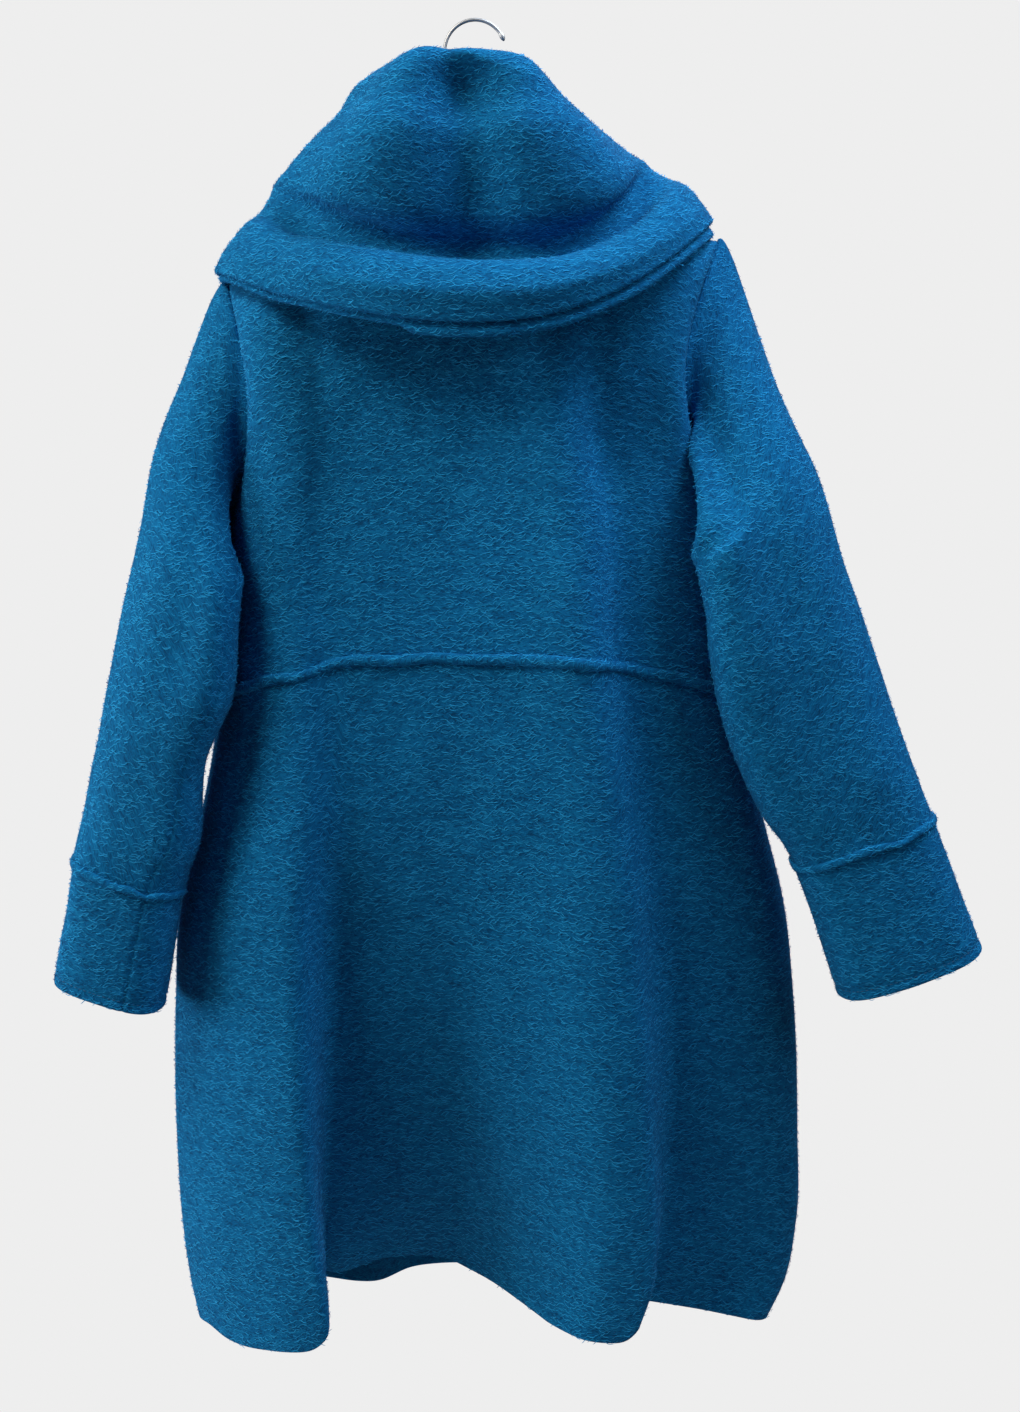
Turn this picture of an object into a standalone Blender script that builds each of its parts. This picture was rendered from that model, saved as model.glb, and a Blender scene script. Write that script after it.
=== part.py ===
"""Hooded coat of boiled wool, hanging on a plain hanger with its hood folded down.

The origin is the inside of the hook's top. +X is the wearer's right, +Y the wearer's
front and +Z up, so the back of the coat faces -Y. Sizes are in millimetres and angles
in degrees; only the finished meshes are in metres.
"""

import math
from collections import namedtuple

import bmesh
import bpy
import numpy as np

for old in list(bpy.data.objects):
    bpy.data.objects.remove(old)

METRES = 0.001

# Cloth
WALL = 3.0  # boiled wool
SEAM = 0.3  # between pieces that are sewn together
NUDGE = 1e-3  # step of the slopes that give a surface its outward direction

# Body: heights of the marked lines at the centre of the back
HEM_Z = -1095.0
WAIST_Z = -521.0
ARMPIT_Z = -412.0
HEM_LEVEL, WAIST_LEVEL, ARMPIT_LEVEL, TOP_LEVEL = 0.0, 0.84, 1.0, 1.33
WAIST_SIDE_DROP = 40.0
HEM_SIDE_DROP = 28.0
HEM_FRONT_DROP = 45.0
ARMPIT_TILT = 15.0  # the right armhole hangs this much above the middle, the left below
HEM_LIFT = 0.18  # rise of the hem for each millimetre that a fold runs inwards
BACK_FULLNESS = 0.3  # how far the oval of the body is squared
SHOULDER_ROUND = 45.0  # drop over which the cloth rounds off the hanger
ARMHOLE_BACK, ARMHOLE_FRONT = 48.0, 55.0
FRONT_GAP_TOP, FRONT_GAP_HEM = 6.0, 26.0

# Horizontal sections of the body: reach to each side, to the back and to the front,
# and how far forward the side seams lie
BodySection = namedtuple("BodySection", "level left right back front left_y right_y")
BODY = (
    BodySection(0.00, 251, 262, 106, 98, -34, -30),
    BodySection(0.04, 257, 276, 108, 99, -30, -24),
    BodySection(0.12, 265, 288, 112, 101, -22, -14),
    BodySection(0.25, 270, 288, 116, 103, -14, -10),
    BodySection(0.44, 268, 281, 119, 103, -10, -10),
    BodySection(0.56, 262, 271, 120, 102, -10, -10),
    BodySection(0.67, 243, 252, 119, 99, -11, -10),
    BodySection(0.76, 230, 236, 117, 96, -12, -10),
    BodySection(0.84, 221, 223, 114, 93, -13, -12),
    BodySection(0.92, 213, 212, 108, 89, -14, -14),
    BodySection(1.00, 210, 206, 102, 85, -15, -18),
    BodySection(1.08, 193, 181, 97, 82, -12, -14),
    BodySection(1.16, 187, 173, 92, 78, -8, -9),
    BodySection(1.25, 195, 185, 87, 74, -4, -4),
    BodySection(1.33, 210, 205, 82, 70, 0, 0),
)

# Soft folds: where each one lies across the panel, from -1 at the left seam to 1 at the
# right, how soft its two flanks are, how far it stands out at the chest, the waist and the
# hem, and how far it drifts sideways at the chest
Fold = namedtuple("Fold", "left right left_soft right_soft chest waist hem drift")
BACK_FOLDS = (
    Fold(-0.92, -0.50, 0.26, 0.07, 7, 9, 38, -0.10),
    Fold(-0.50, 0.16, 0.07, 0.14, -6, -9, -92, -0.10),
    Fold(0.20, 0.53, 0.15, 0.07, 10, 11, 32, 0.0),
    Fold(0.53, 1.02, 0.07, 0.12, -10, -13, -42, 0.0),
)
FRONT_FOLDS = (
    Fold(-0.72, -0.40, 0.18, 0.16, 0, -3, -30, 0.0),
    Fold(0.36, 0.70, 0.18, 0.18, 0, -3, -34, 0.0),
)
FOLD_LEAN = 0.4  # sideways lean of a fold for each millimetre that it stands out
TOP_SOFTENING = 2.2  # how much softer the flanks are at the chest than at the hem
CHEST_DRIFT = 0.6  # level from which a fold drifts sideways towards the chest

# Neckline
NECK_HALF, NECK_BACK, NECK_FRONT = 85.0, 75.0, 72.0
NECK_BACK_Z, NECK_FRONT_Z = -185.0, -250.0
NECK_LEFT_Z, NECK_RIGHT_Z = -168.0, -158.0
SHOULDER_LEFT_Z, SHOULDER_RIGHT_Z = -213.0, -178.0

# Hood, folded down over its own stand: rings of the visible layer from the neck seam,
# up inside the stand, over the roll and down to the outer edge
HoodRing = namedtuple(
    "HoodRing", "left right back front z_back z_left z_right z_front sweep_left sweep_right"
)
HOOD = (
    HoodRing(80, 80, 70, 67, -185, -168, -158, -249, 2, 2),  # neck seam
    HoodRing(77, 72, 62, 70, -120, -125, -118, -240, 2, 2),  # stand
    HoodRing(63, 49, 72, 75, -63, -62, -66, -228, 2, 2),  # inner side of the roll
    HoodRing(75, 58, 102, 89, -47, -45, -50, -213, 2, 2),  # top of the roll
    HoodRing(93, 73, 129, 104, -61, -53, -60, -222, 2, 2),  # outer side of the roll
    HoodRing(126, 101, 135, 119, -106, -77, -78, -242, 2.4, 2.6),  # upper fall
    HoodRing(162, 136, 127, 128, -158, -115, -103, -262, 2, 3),  # fullest part of the fall
    HoodRing(176, 155, 112, 134, -203, -147, -118, -285, 1.7, 3),  # trough
    HoodRing(200, 184, 139, 140, -223, -177, -137, -310, 1.9, 2.8),  # crest of the brim
    HoodRing(226, 205, 158, 148, -262, -210, -167, -350, 2, 2),  # outer edge
)
# Soft folds of its fall: from one ring to another, the turn of each at its two ends and its
# half width, from the centre of the back, and how far it stands out
HoodFold = namedtuple("HoodFold", "low high turn_low turn_high width depth")
HOOD_FOLDS = (
    HoodFold(3.3, 7.6, -12, 2, 15, -24),  # valley down the middle
    HoodFold(2.4, 7.4, -34, -42, 11, 8),  # ridge to its left
    HoodFold(2.4, 7.6, 28, 52, 16, 8),  # ridge to its right
    HoodFold(4.6, 7.0, 0, 0, 45, 4),  # fullness over the trough
    HoodFold(6.3, 7.9, 0, 0, 55, -9),  # trough
)
HOOD_END = 162.0  # each end of the hood, from the centre of the back
HOOD_FULLNESS = 0.35  # how far the fall is squared over the front of the shoulders
HOOD_NECK_GAP = 0.9
HOOD_LIP = 0.16  # share of the brim by which the under layer shows below the upper one

# Sleeves: places along the outside of the arm and along the inside, and half the depth
# of the section through both
SleeveRing = namedtuple(
    "SleeveRing", "outer_x outer_z outer_y inner_x inner_z inner_y half_depth"
)
LEFT_SLEEVE = (
    SleeveRing(-254, -326, -20, -200, -448, -76, 46),
    SleeveRing(-272, -423, -55, -194, -489, -101, 44),
    SleeveRing(-293, -518, -70, -197, -550, -103, 44),
    SleeveRing(-309, -595, -75, -222, -608, -95, 44),
    SleeveRing(-322, -649, -78, -229, -673, -90, 45),
    SleeveRing(-336, -693, -78, -246, -720, -86, 46),
    SleeveRing(-357, -793, -76, -265, -821, -82, 47),
)
RIGHT_SLEEVE = (
    SleeveRing(250, -305, -25, 202, -430, -80, 48),
    SleeveRing(284, -384, -55, 188, -452, -100, 44),
    SleeveRing(312, -464, -66, 192, -517, -100, 42),
    SleeveRing(340, -543, -72, 208, -586, -96, 42),
    SleeveRing(364, -607, -76, 236, -650, -90, 43),
    SleeveRing(383, -657, -78, 268, -699, -84, 44),
    SleeveRing(427, -767, -78, 308, -812, -78, 47),
)
CUFF_RING = 6  # the cuff runs from this ring to the last
ARMHOLE_GAP = 0.6
SLEEVE_HEAD_TOP, SLEEVE_HEAD_FOOT = 5.0, 13.0  # how far the sleeve stands out of the armhole
SLEEVE_HEAD_STEP = 0.25
SLEEVE_FULLNESS = 0.35  # how far the back of a sleeve is squared

# Raised seams: strips of doubled cloth, half round in section
WELT_HEIGHT, WELT_THICK, WELT_LIFT = 9.0, 4.0, 0.4

# Hanger
HOOK_RADIUS, HOOK_WIRE = 24.0, 1.7  # inside of the hook, radius of its wire
HOOK_TIP_ANGLE, HOOK_ARC_END = 20.0, 235.0
HANGER_LEFT, HANGER_RIGHT = 192.0, 187.0
HANGER_PEAK_Z = -148.0
HANGER_HALF_DEPTH = 6.0
HANGER_HEIGHTS = (18.0, 11.0)  # in the middle, at the ends
HANGER_UNDER_CLOTH = 0.6

# Steps of the meshes
NECK_STEP = 18.0
BACK_SIDE_COLUMNS, FRONT_SIDE_COLUMNS = 8, 5
SKIRT_LEVELS = (0.0, 0.05, 0.13, 0.25, 0.39, 0.52, 0.65, 0.76)
CHEST_LEVELS = (0.92,)
ARMHOLE_SHARES = (0.0, 0.10, 0.25, 0.42, 0.60, 0.76, 0.88, 0.96, 1.0)
SLEEVE_STEPS = (0.0, 0.25, 0.6, 1.0, 1.7, 2.4, 3.1, 3.9, 4.9)
CUFF_STEPS = (6.5, 7.0)
HOOD_STEPS = (0.0, 1.0, 1.7, 2.3, 2.75, 3.25, 3.7, 4.3, 5.0, 5.7, 6.4, 7.0, 7.5, 8.0, 8.5)
WELT_SECTION = 6
HOOK_POINTS, HOOK_BEND_POINTS = 24, 7
HANGER_STATIONS = 14
HANGER_SECTION = 10


# Curves through short tables

def column(table, name):
    return np.array([getattr(row, name) for row in table], float)


def through(knots, values, at):
    """A smooth curve through the values at the knots; straight on past the ends."""
    knots, values = np.asarray(knots, float), np.asarray(values, float)
    at = np.asarray(at, float)
    slopes = np.gradient(values, knots, axis=0)
    i = np.clip(np.searchsorted(knots, at, side="right") - 1, 0, len(knots) - 2)
    width = knots[i + 1] - knots[i]
    raw = (at - knots[i]) / width
    t = np.clip(raw, 0.0, 1.0)
    beyond = (raw - t) * width
    extra = values.ndim - 1
    width, t, beyond = (v.reshape(v.shape + (1,) * extra) for v in (width, t, beyond))
    near, far = values[i], values[i + 1]
    curve = (
        (2 * t**3 - 3 * t**2 + 1) * near
        + (t**3 - 2 * t**2 + t) * width * slopes[i]
        + (3 * t**2 - 2 * t**3) * far
        + (t**3 - t**2) * width * slopes[i + 1]
    )
    return curve + beyond * np.where(t > 0.5, slopes[i + 1], slopes[i])


def ramp(low, high, at):
    """0 below low, 1 above high, smooth between."""
    t = np.clip((at - low) / (high - low), 0.0, 1.0)
    return t * t * (3 - 2 * t)


# Body of the coat

def body_size(level, name):
    return through(column(BODY, "level"), column(BODY, name), level)


def fold_depth(folds, across, level):
    """How far the folds stand out at a place across the panel and a level."""
    below_waist = (np.clip(WAIST_LEVEL - level, 0.0, None) / WAIST_LEVEL) ** 1.6
    above_waist = ramp(WAIST_LEVEL, ARMPIT_LEVEL, level)
    fade = 1 - ramp(ARMPIT_LEVEL + 0.06, TOP_LEVEL - 0.04, level)
    softening = 1 + (TOP_SOFTENING - 1) * np.clip(level / WAIST_LEVEL, 0.0, 1.0)
    total = np.zeros(np.broadcast(across, level).shape)
    for fold in folds:
        depth = fold.waist + (fold.hem - fold.waist) * below_waist
        depth = depth + (fold.chest - fold.waist) * above_waist
        soft_left, soft_right = fold.left_soft * softening, fold.right_soft * softening
        drift = fold.drift * ramp(CHEST_DRIFT, ARMPIT_LEVEL, level)
        rise = ramp(fold.left + drift - soft_left, fold.left + drift + soft_left, across)
        fall = ramp(fold.right + drift - soft_right, fold.right + drift + soft_right, across)
        total = total + depth * rise * (1 - fall)
    return total * fade * (1 - np.abs(across) ** 6)


def neckline(turn):
    """Points of the neck seam round the neck, 0 at the centre of the back."""
    sine, cosine = np.sin(np.radians(turn)), np.cos(np.radians(turn))
    depth = np.where(cosine > 0, NECK_BACK, NECK_FRONT)
    side_z = np.where(sine > 0, NECK_RIGHT_Z, NECK_LEFT_Z)
    end_z = np.where(cosine > 0, NECK_BACK_Z, NECK_FRONT_Z)
    z = end_z + (side_z - end_z) * sine**2
    return np.stack([NECK_HALF * sine, -depth * cosine, z], axis=-1)


def top_edge(x, face):
    """Shoulder seam outside the neck, neckline inside it."""
    inside = np.degrees(np.arcsin(np.clip(x / NECK_HALF, -1.0, 1.0)))
    neck = neckline(inside if face < 0 else 180.0 - inside)
    reach_left, reach_right = body_size(TOP_LEVEL, "left"), body_size(TOP_LEVEL, "right")
    right = (x - NECK_HALF) / (reach_right - NECK_HALF)
    left = (-x - NECK_HALF) / (reach_left - NECK_HALF)
    shoulder_z = np.where(
        x > 0,
        NECK_RIGHT_Z + (SHOULDER_RIGHT_Z - NECK_RIGHT_Z) * right,
        NECK_LEFT_Z + (SHOULDER_LEFT_Z - NECK_LEFT_Z) * left,
    )
    on_neck = np.abs(x) < NECK_HALF
    y = np.where(on_neck, neck[..., 1], 0.0) + face * SEAM / 2
    return y, np.where(on_neck, neck[..., 2], shoulder_z)


def body_surface(turn, level, face):
    """Outside of the body: turn 0 is the centre of the back, 90 the right side, 180 the
    centre of the front. face is -1 on the back panels and 1 on the fronts."""
    turn, level = np.broadcast_arrays(np.asarray(turn, float), np.asarray(level, float))
    sine, cosine = np.sin(np.radians(turn)), np.cos(np.radians(turn))
    left, right = body_size(level, "left"), body_size(level, "right")
    middle, half = (right - left) / 2, (right + left) / 2
    folds, depth_name = (BACK_FOLDS, "back") if face < 0 else (FRONT_FOLDS, "front")
    stands_out = fold_depth(folds, sine, level)
    share = np.clip((level - ARMPIT_LEVEL) / (TOP_LEVEL - ARMPIT_LEVEL), 0.0, 1.0)
    armhole = np.sin(np.pi * share) ** (1.1 - 0.5 * share)
    armhole = armhole * (ARMHOLE_BACK if face < 0 else ARMHOLE_FRONT)
    side_y = np.where(sine > 0, body_size(level, "right_y"), body_size(level, "left_y"))
    edge_y = side_y * np.abs(sine) ** 3 + face * armhole * sine**6
    full = cosine * (1 + BACK_FULLNESS * sine**2)
    x = middle + half * sine - face * FOLD_LEAN * stands_out
    y = edge_y - body_size(level, depth_name) * full + face * stands_out
    hem_drop = np.where(
        cosine > 0,
        HEM_SIDE_DROP * sine**2,
        HEM_SIDE_DROP + (HEM_FRONT_DROP - HEM_SIDE_DROP) * cosine**2,
    )
    waist_drop = WAIST_SIDE_DROP * np.where(cosine > 0, np.abs(sine) ** 2.6, 1.0)
    hem_z = HEM_Z - hem_drop + HEM_LIFT * np.clip(-stands_out, 0.0, None)
    waist_z = WAIST_Z - waist_drop
    armpit_z = ARMPIT_Z + ARMPIT_TILT * sine
    z = np.where(
        level < WAIST_LEVEL,
        hem_z + (waist_z - hem_z) * level / WAIST_LEVEL,
        waist_z + (armpit_z - waist_z) * (level - WAIST_LEVEL) / (ARMPIT_LEVEL - WAIST_LEVEL),
    )
    top_y, top_z = top_edge(middle + half * sine, face)
    drop = (1 - share) * (top_z - armpit_z)
    rounding = np.sqrt(1 - (1 - np.clip(drop / SHOULDER_ROUND, 0.0, 1.0)) ** 2)
    upper = level > ARMPIT_LEVEL
    y = np.where(upper, top_y + (y - top_y) * rounding, y)
    z = np.where(upper, armpit_z + share * (top_z - armpit_z), z)
    return np.stack([x, y, z], axis=-1)


def outward(surface, first, second, top=None):
    """Unit vectors square to a surface, from its slopes along its two directions."""
    ahead = second + NUDGE if top is None else np.minimum(second + NUDGE, top)
    along_first = surface(first + NUDGE, second) - surface(first - NUDGE, second)
    along_second = surface(first, ahead) - surface(first, second - NUDGE)
    normal = np.cross(along_first, along_second)
    return normal / np.linalg.norm(normal, axis=-1, keepdims=True)


def back_columns():
    """Turns of the back's columns, with those of the neckline among them."""
    neck_x = NECK_HALF * np.sin(np.radians(np.arange(-90.0, 90.1, NECK_STEP)))
    neck = neck_turn(neck_x)
    trim = np.degrees(SEAM / 2 / body_size(WAIST_LEVEL, "back"))
    left = np.linspace(-90.0 + trim, neck[0], BACK_SIDE_COLUMNS + 1)[:-1]
    right = np.linspace(neck[-1], 90.0 - trim, BACK_SIDE_COLUMNS + 1)[1:]
    return np.concatenate([left, neck, right])


def neck_turn(x):
    """Turn of the body's column that meets the top edge at this x."""
    left, right = body_size(TOP_LEVEL, "left"), body_size(TOP_LEVEL, "right")
    return np.degrees(np.arcsin((x - (right - left) / 2) / ((right + left) / 2)))


def front_columns(side):
    """Turns of one front's columns, from its side seam to the front edge."""
    neck_x = side * NECK_HALF * np.sin(np.radians(np.arange(90.0, -0.1, -NECK_STEP)))
    neck = 180.0 - neck_turn(neck_x)
    trim = np.degrees(SEAM / 2 / body_size(WAIST_LEVEL, "front"))
    outer = np.linspace(180.0 - side * (90.0 - trim), neck[0], FRONT_SIDE_COLUMNS + 1)
    return np.concatenate([outer[:-1], neck])


def panel_levels():
    """Levels of the rows below and above the waist, with those of the welt's edges."""
    welt_foot, welt_top = waist_levels(-WELT_HEIGHT / 2), waist_levels(WELT_HEIGHT / 2)
    below = SKIRT_LEVELS + (welt_foot, WAIST_LEVEL)
    armhole_levels = tuple(armhole_level(share) for share in ARMHOLE_SHARES)
    above = (WAIST_LEVEL, welt_top) + CHEST_LEVELS + armhole_levels
    return np.array(below), np.array(above)


def waist_levels(height):
    """Level this far above the waist seam, or below it."""
    if height < 0:
        return WAIST_LEVEL + height / (WAIST_Z - HEM_Z) * WAIST_LEVEL
    return WAIST_LEVEL + height / (ARMPIT_Z - WAIST_Z) * (ARMPIT_LEVEL - WAIST_LEVEL)


def armhole_level(share):
    return ARMPIT_LEVEL + share * (TOP_LEVEL - ARMPIT_LEVEL)


def body_panel(name, turns, levels, face, waist_trim=0.0, edge_gap=0.0):
    """A panel of the body. waist_trim moves its row at the waist off the seam and
    edge_gap its last column off the centre of the front."""
    turn, level = np.meshgrid(turns, levels)

    def surface(first, second):
        return body_surface(first, second, face)

    placed = level + np.where(level == WAIST_LEVEL, waist_trim, 0.0)
    outer = surface(turn, placed)
    normal = outward(surface, turn, level, TOP_LEVEL)
    # Along the shoulder seam the cut edges of both panels stand upright
    seam = (level == TOP_LEVEL) & (np.abs(outer[..., 0]) >= NECK_HALF)
    normal[seam, 1] = 0.0
    normal /= np.linalg.norm(normal, axis=-1, keepdims=True)
    inner = outer - WALL * normal
    if edge_gap:
        for points in (outer, inner):
            points[:, -1, 0] = edge_gap * front_gap(levels) / 2
    return wall(name, outer, inner)


def front_gap(level):
    """Width of the opening between the fronts."""
    return FRONT_GAP_HEM + (FRONT_GAP_TOP - FRONT_GAP_HEM) * level / TOP_LEVEL


# Hood

def hood_push(turn, along):
    """How far the folds of the hood's fall stand out."""
    total = np.zeros(turn.shape)
    for fold in HOOD_FOLDS:
        run = (along - fold.low) / (fold.high - fold.low)
        middle = fold.turn_low + (fold.turn_high - fold.turn_low) * np.clip(run, 0.0, 1.0)
        fade = ramp(0.0, 0.3, run) * (1 - ramp(0.7, 1.0, run))
        total = total + fold.depth * fade * np.exp(-(((turn - middle) / fold.width) ** 2))
    return total


def hood_surface(turn, along):
    """Outside of the folded hood's upper layer."""
    turn, along = np.broadcast_arrays(np.asarray(turn, float), np.asarray(along, float))
    sine, cosine = np.sin(np.radians(turn)), np.cos(np.radians(turn))
    rings = np.array(HOOD, float)
    ring = through(np.arange(len(rings)), rings, along)
    size = dict(zip(HoodRing._fields, np.moveaxis(ring, -1, 0)))
    half = (size["right"] + size["left"]) / 2 + (size["right"] - size["left"]) / 2 * sine
    depth = (size["back"] + size["front"]) / 2 + (size["back"] - size["front"]) / 2 * cosine
    side_z = np.where(sine > 0, size["z_right"], size["z_left"])
    end_z = np.where(cosine > 0, size["z_back"], size["z_front"])
    sweep = np.where(sine > 0, size["sweep_right"], size["sweep_left"])
    z = end_z + (side_z - end_z) * np.abs(sine) ** sweep + HOOD_NECK_GAP
    squared = 1 + HOOD_FULLNESS * ramp(2.5, 5.0, along) * sine**2 * (cosine < 0)
    push = hood_push(turn, along)
    return np.stack([(half + push) * sine, -(depth + push) * cosine * squared, z], axis=-1)


def hood_layer(name, depth, ends):
    """One layer of the doubled hood, this far under the visible face."""
    turn, along = np.meshgrid(
        np.arange(-HOOD_END, HOOD_END + 0.1, NECK_STEP), np.array(HOOD_STEPS + ends)
    )
    face = hood_surface(turn, along)
    normal = -outward(hood_surface, turn, along)
    return wall(name, face - depth * normal, face - (depth + WALL) * normal)


# Sleeves

def armhole(side, share, face):
    return body_surface(side * 90.0, armhole_level(share), face)


def sleeve_surface(side, rings, around, along):
    """Outside of a sleeve: around 0 is the outside of the arm, 0.25 its back."""
    around, along = np.broadcast_arrays(np.asarray(around, float), np.asarray(along, float))
    turned = np.mod(around, 1.0)
    first = np.where(
        (turned <= 0.5)[..., None],
        armhole(side, 1 - 2 * turned, -1),
        armhole(side, 2 * turned - 1, 1),
    )
    first = first + np.array([side * ARMHOLE_GAP, 0.0, 0.0])
    cosine, sine = np.cos(2 * np.pi * turned), np.sin(2 * np.pi * turned)
    head = SLEEVE_HEAD_TOP + (SLEEVE_HEAD_FOOT - SLEEVE_HEAD_TOP) * np.sin(np.pi * turned) ** 2
    stack = [first, first + head[..., None] * np.array([side, 0.0, 0.0])]
    squared = 1 + SLEEVE_FULLNESS * cosine**2 * (sine > 0)
    for ring in rings:
        outer = np.array([ring.outer_x, ring.outer_y, ring.outer_z], float)
        inner = np.array([ring.inner_x, ring.inner_y, ring.inner_z], float)
        points = (outer + inner) / 2 + (outer - inner) / 2 * cosine[..., None]
        points[..., 1] -= ring.half_depth * sine * squared
        stack.append(points)
    flat = np.stack(stack).reshape(len(stack), -1, 3)
    knots = np.insert(np.arange(len(rings) + 1.0), 1, SLEEVE_HEAD_STEP)
    picked = [through(knots, flat[:, i], a) for i, a in enumerate(along.ravel())]
    return np.array(picked).reshape(along.shape + (3,))


def sleeve_around():
    """Places round a sleeve that match the rows of the panels at the armhole."""
    back = [(1 - share) / 2 for share in reversed(ARMHOLE_SHARES)]
    front = [(1 + share) / 2 for share in ARMHOLE_SHARES[1:-1]]
    return np.array(back + front)


def sleeve_tube(name, side, rings, steps):
    around, along = np.meshgrid(sleeve_around(), np.array(steps))

    def surface(first, second):
        return sleeve_surface(side, rings, first, second)

    outer = surface(around, along)
    normal = side * outward(surface, around, along)
    if steps[0] == 0.0:
        spoke = outer[0] - outer[0].mean(axis=0)
        spoke[:, 0] = 0.0
        normal[0] = spoke / np.linalg.norm(spoke, axis=-1, keepdims=True)
    return wall(name, outer, outer - WALL * normal, closed=True)


# Raised seams

def welt_profile():
    """Height and lift of the points round a welt's half-round section, base last."""
    angle = np.linspace(0.0, np.pi, WELT_SECTION)
    height = np.append(-WELT_HEIGHT / 2 * np.cos(angle), 0.0)
    return height, np.append(WELT_LIFT + WELT_THICK * np.sin(angle), WELT_LIFT)


def waist_welt(name, turns, face, edge_gap=0.0):
    def surface(first, second):
        return body_surface(first, second, face)

    loops = []
    for height, lift in zip(*welt_profile()):
        level = np.full_like(turns, waist_levels(height))
        points = surface(turns, level) + lift * outward(surface, turns, level)
        if edge_gap:
            points[-1, 0] = edge_gap * front_gap(level[-1]) / 2
        loops.append(points)
    return swept(name, np.stack(loops, axis=1))


def cuff_welt(name, side, rings):
    around = sleeve_around()

    def surface(first, second):
        return sleeve_surface(side, rings, first, second)

    loops = []
    above, below = ring_spans(rings)
    for height, lift in zip(*welt_profile()):
        along = np.full_like(around, CUFF_RING - height / (above if height > 0 else below))
        normal = side * outward(surface, around, along)
        loops.append(surface(around, along) + lift * normal)
    return swept(name, np.stack(loops, axis=1), closed=True)


def ring_spans(rings):
    """Lengths of the last stretch of the sleeve above the cuff and of the cuff."""
    ends = [((r.outer_x + r.inner_x) / 2, (r.outer_z + r.inner_z) / 2) for r in rings[-3:]]
    return math.dist(ends[0], ends[1]), math.dist(ends[1], ends[2])


# Hanger

def hook_path():
    """Centre line of the hook, from its tip over the top and down to the hanger."""
    radius = HOOK_RADIUS + HOOK_WIRE
    end = math.radians(HOOK_ARC_END)
    # A reverse bend takes the wire from the end of the arc to straight down under the top
    bend = -radius * math.cos(end) / (1 + math.cos(end))
    bend_x, bend_z = (radius + bend) * math.cos(end), (radius + bend) * math.sin(end)
    arc = np.radians(np.linspace(HOOK_TIP_ANGLE, HOOK_ARC_END, HOOK_POINTS))
    points = [(radius * math.cos(a), radius * math.sin(a)) for a in arc]
    for a in np.radians(np.linspace(HOOK_ARC_END - 180.0, 0.0, HOOK_BEND_POINTS))[1:]:
        points.append((bend_x + bend * math.cos(a), bend_z + bend * math.sin(a)))
    points.append((0.0, HANGER_PEAK_Z + SEAM + HOOK_RADIUS))
    return [(x, 0.0, z - HOOK_RADIUS) for x, z in points]


def hanger_hook():
    curve = bpy.data.curves.new("hanger_hook", "CURVE")
    curve.dimensions = "3D"
    curve.bevel_depth = HOOK_WIRE * METRES
    curve.bevel_resolution = 2
    curve.use_fill_caps = True
    path = hook_path()
    spline = curve.splines.new("POLY")
    spline.points.add(len(path) - 1)
    for point, place in zip(spline.points, path):
        point.co = (*(c * METRES for c in place), 1.0)
    wire = bpy.data.objects.new("hook_path", curve)
    bpy.context.scene.collection.objects.link(wire)
    shaped = wire.evaluated_get(bpy.context.evaluated_depsgraph_get())
    mesh = bpy.data.meshes.new_from_object(shaped)
    bpy.data.objects.remove(wire)
    shape = bmesh.new()
    shape.from_mesh(mesh)
    bpy.data.meshes.remove(mesh)
    bmesh.ops.remove_doubles(shape, verts=shape.verts, dist=1e-6)
    return finished("hanger_hook", shape)


def hanger_arms():
    """A plain bar under the shoulder seams, oval in section."""
    under = WALL * 1.1 + HANGER_UNDER_CLOTH
    stations = np.linspace(-HANGER_LEFT, HANGER_RIGHT, HANGER_STATIONS)
    stations[np.abs(stations).argmin()] = 0.0
    ends = np.array([-HANGER_LEFT, -NECK_HALF, NECK_HALF, HANGER_RIGHT])
    end_tops = top_edge(ends, -1)[1] - under
    knots = np.insert(ends, 2, 0.0)
    tops = np.interp(stations, knots, np.insert(end_tops, 2, HANGER_PEAK_Z))
    heights = np.interp(np.abs(stations), [0.0, HANGER_LEFT], HANGER_HEIGHTS)
    angles = np.linspace(0.0, 2 * np.pi, HANGER_SECTION, endpoint=False)
    loops = [
        [
            (x, HANGER_HALF_DEPTH * math.sin(a), top - height / 2 + height / 2 * math.cos(a))
            for a in angles
        ]
        for x, top, height in zip(stations, tops, heights)
    ]
    return swept("hanger_arms", np.array(loops))


# Meshes

def wall(name, outer, inner, closed=False):
    """A wall of cloth between two grids of points, open or closed to a tube."""
    rows, columns = outer.shape[:2]
    shape = bmesh.new()
    faces = []
    for grid in (outer, inner):
        faces.append([[shape.verts.new(p * METRES) for p in row] for row in grid])
    front, behind = faces
    spans = [(c, (c + 1) % columns) for c in range(columns if closed else columns - 1)]
    # Both sides are split along the same diagonal, so nested layers stay apart
    for grid in faces:
        for one, two in zip(grid, grid[1:]):
            for a, b in spans:
                shape.faces.new((one[a], one[b], two[b]))
                shape.faces.new((one[a], two[b], two[a]))
    for r in (0, rows - 1):
        for a, b in spans:
            shape.faces.new((front[r][a], front[r][b], behind[r][b], behind[r][a]))
    if not closed:
        for c in (0, columns - 1):
            for r in range(rows - 1):
                corners = (front[r][c], front[r + 1][c], behind[r + 1][c], behind[r][c])
                shape.faces.new(corners)
    return finished(name, shape)


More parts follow.
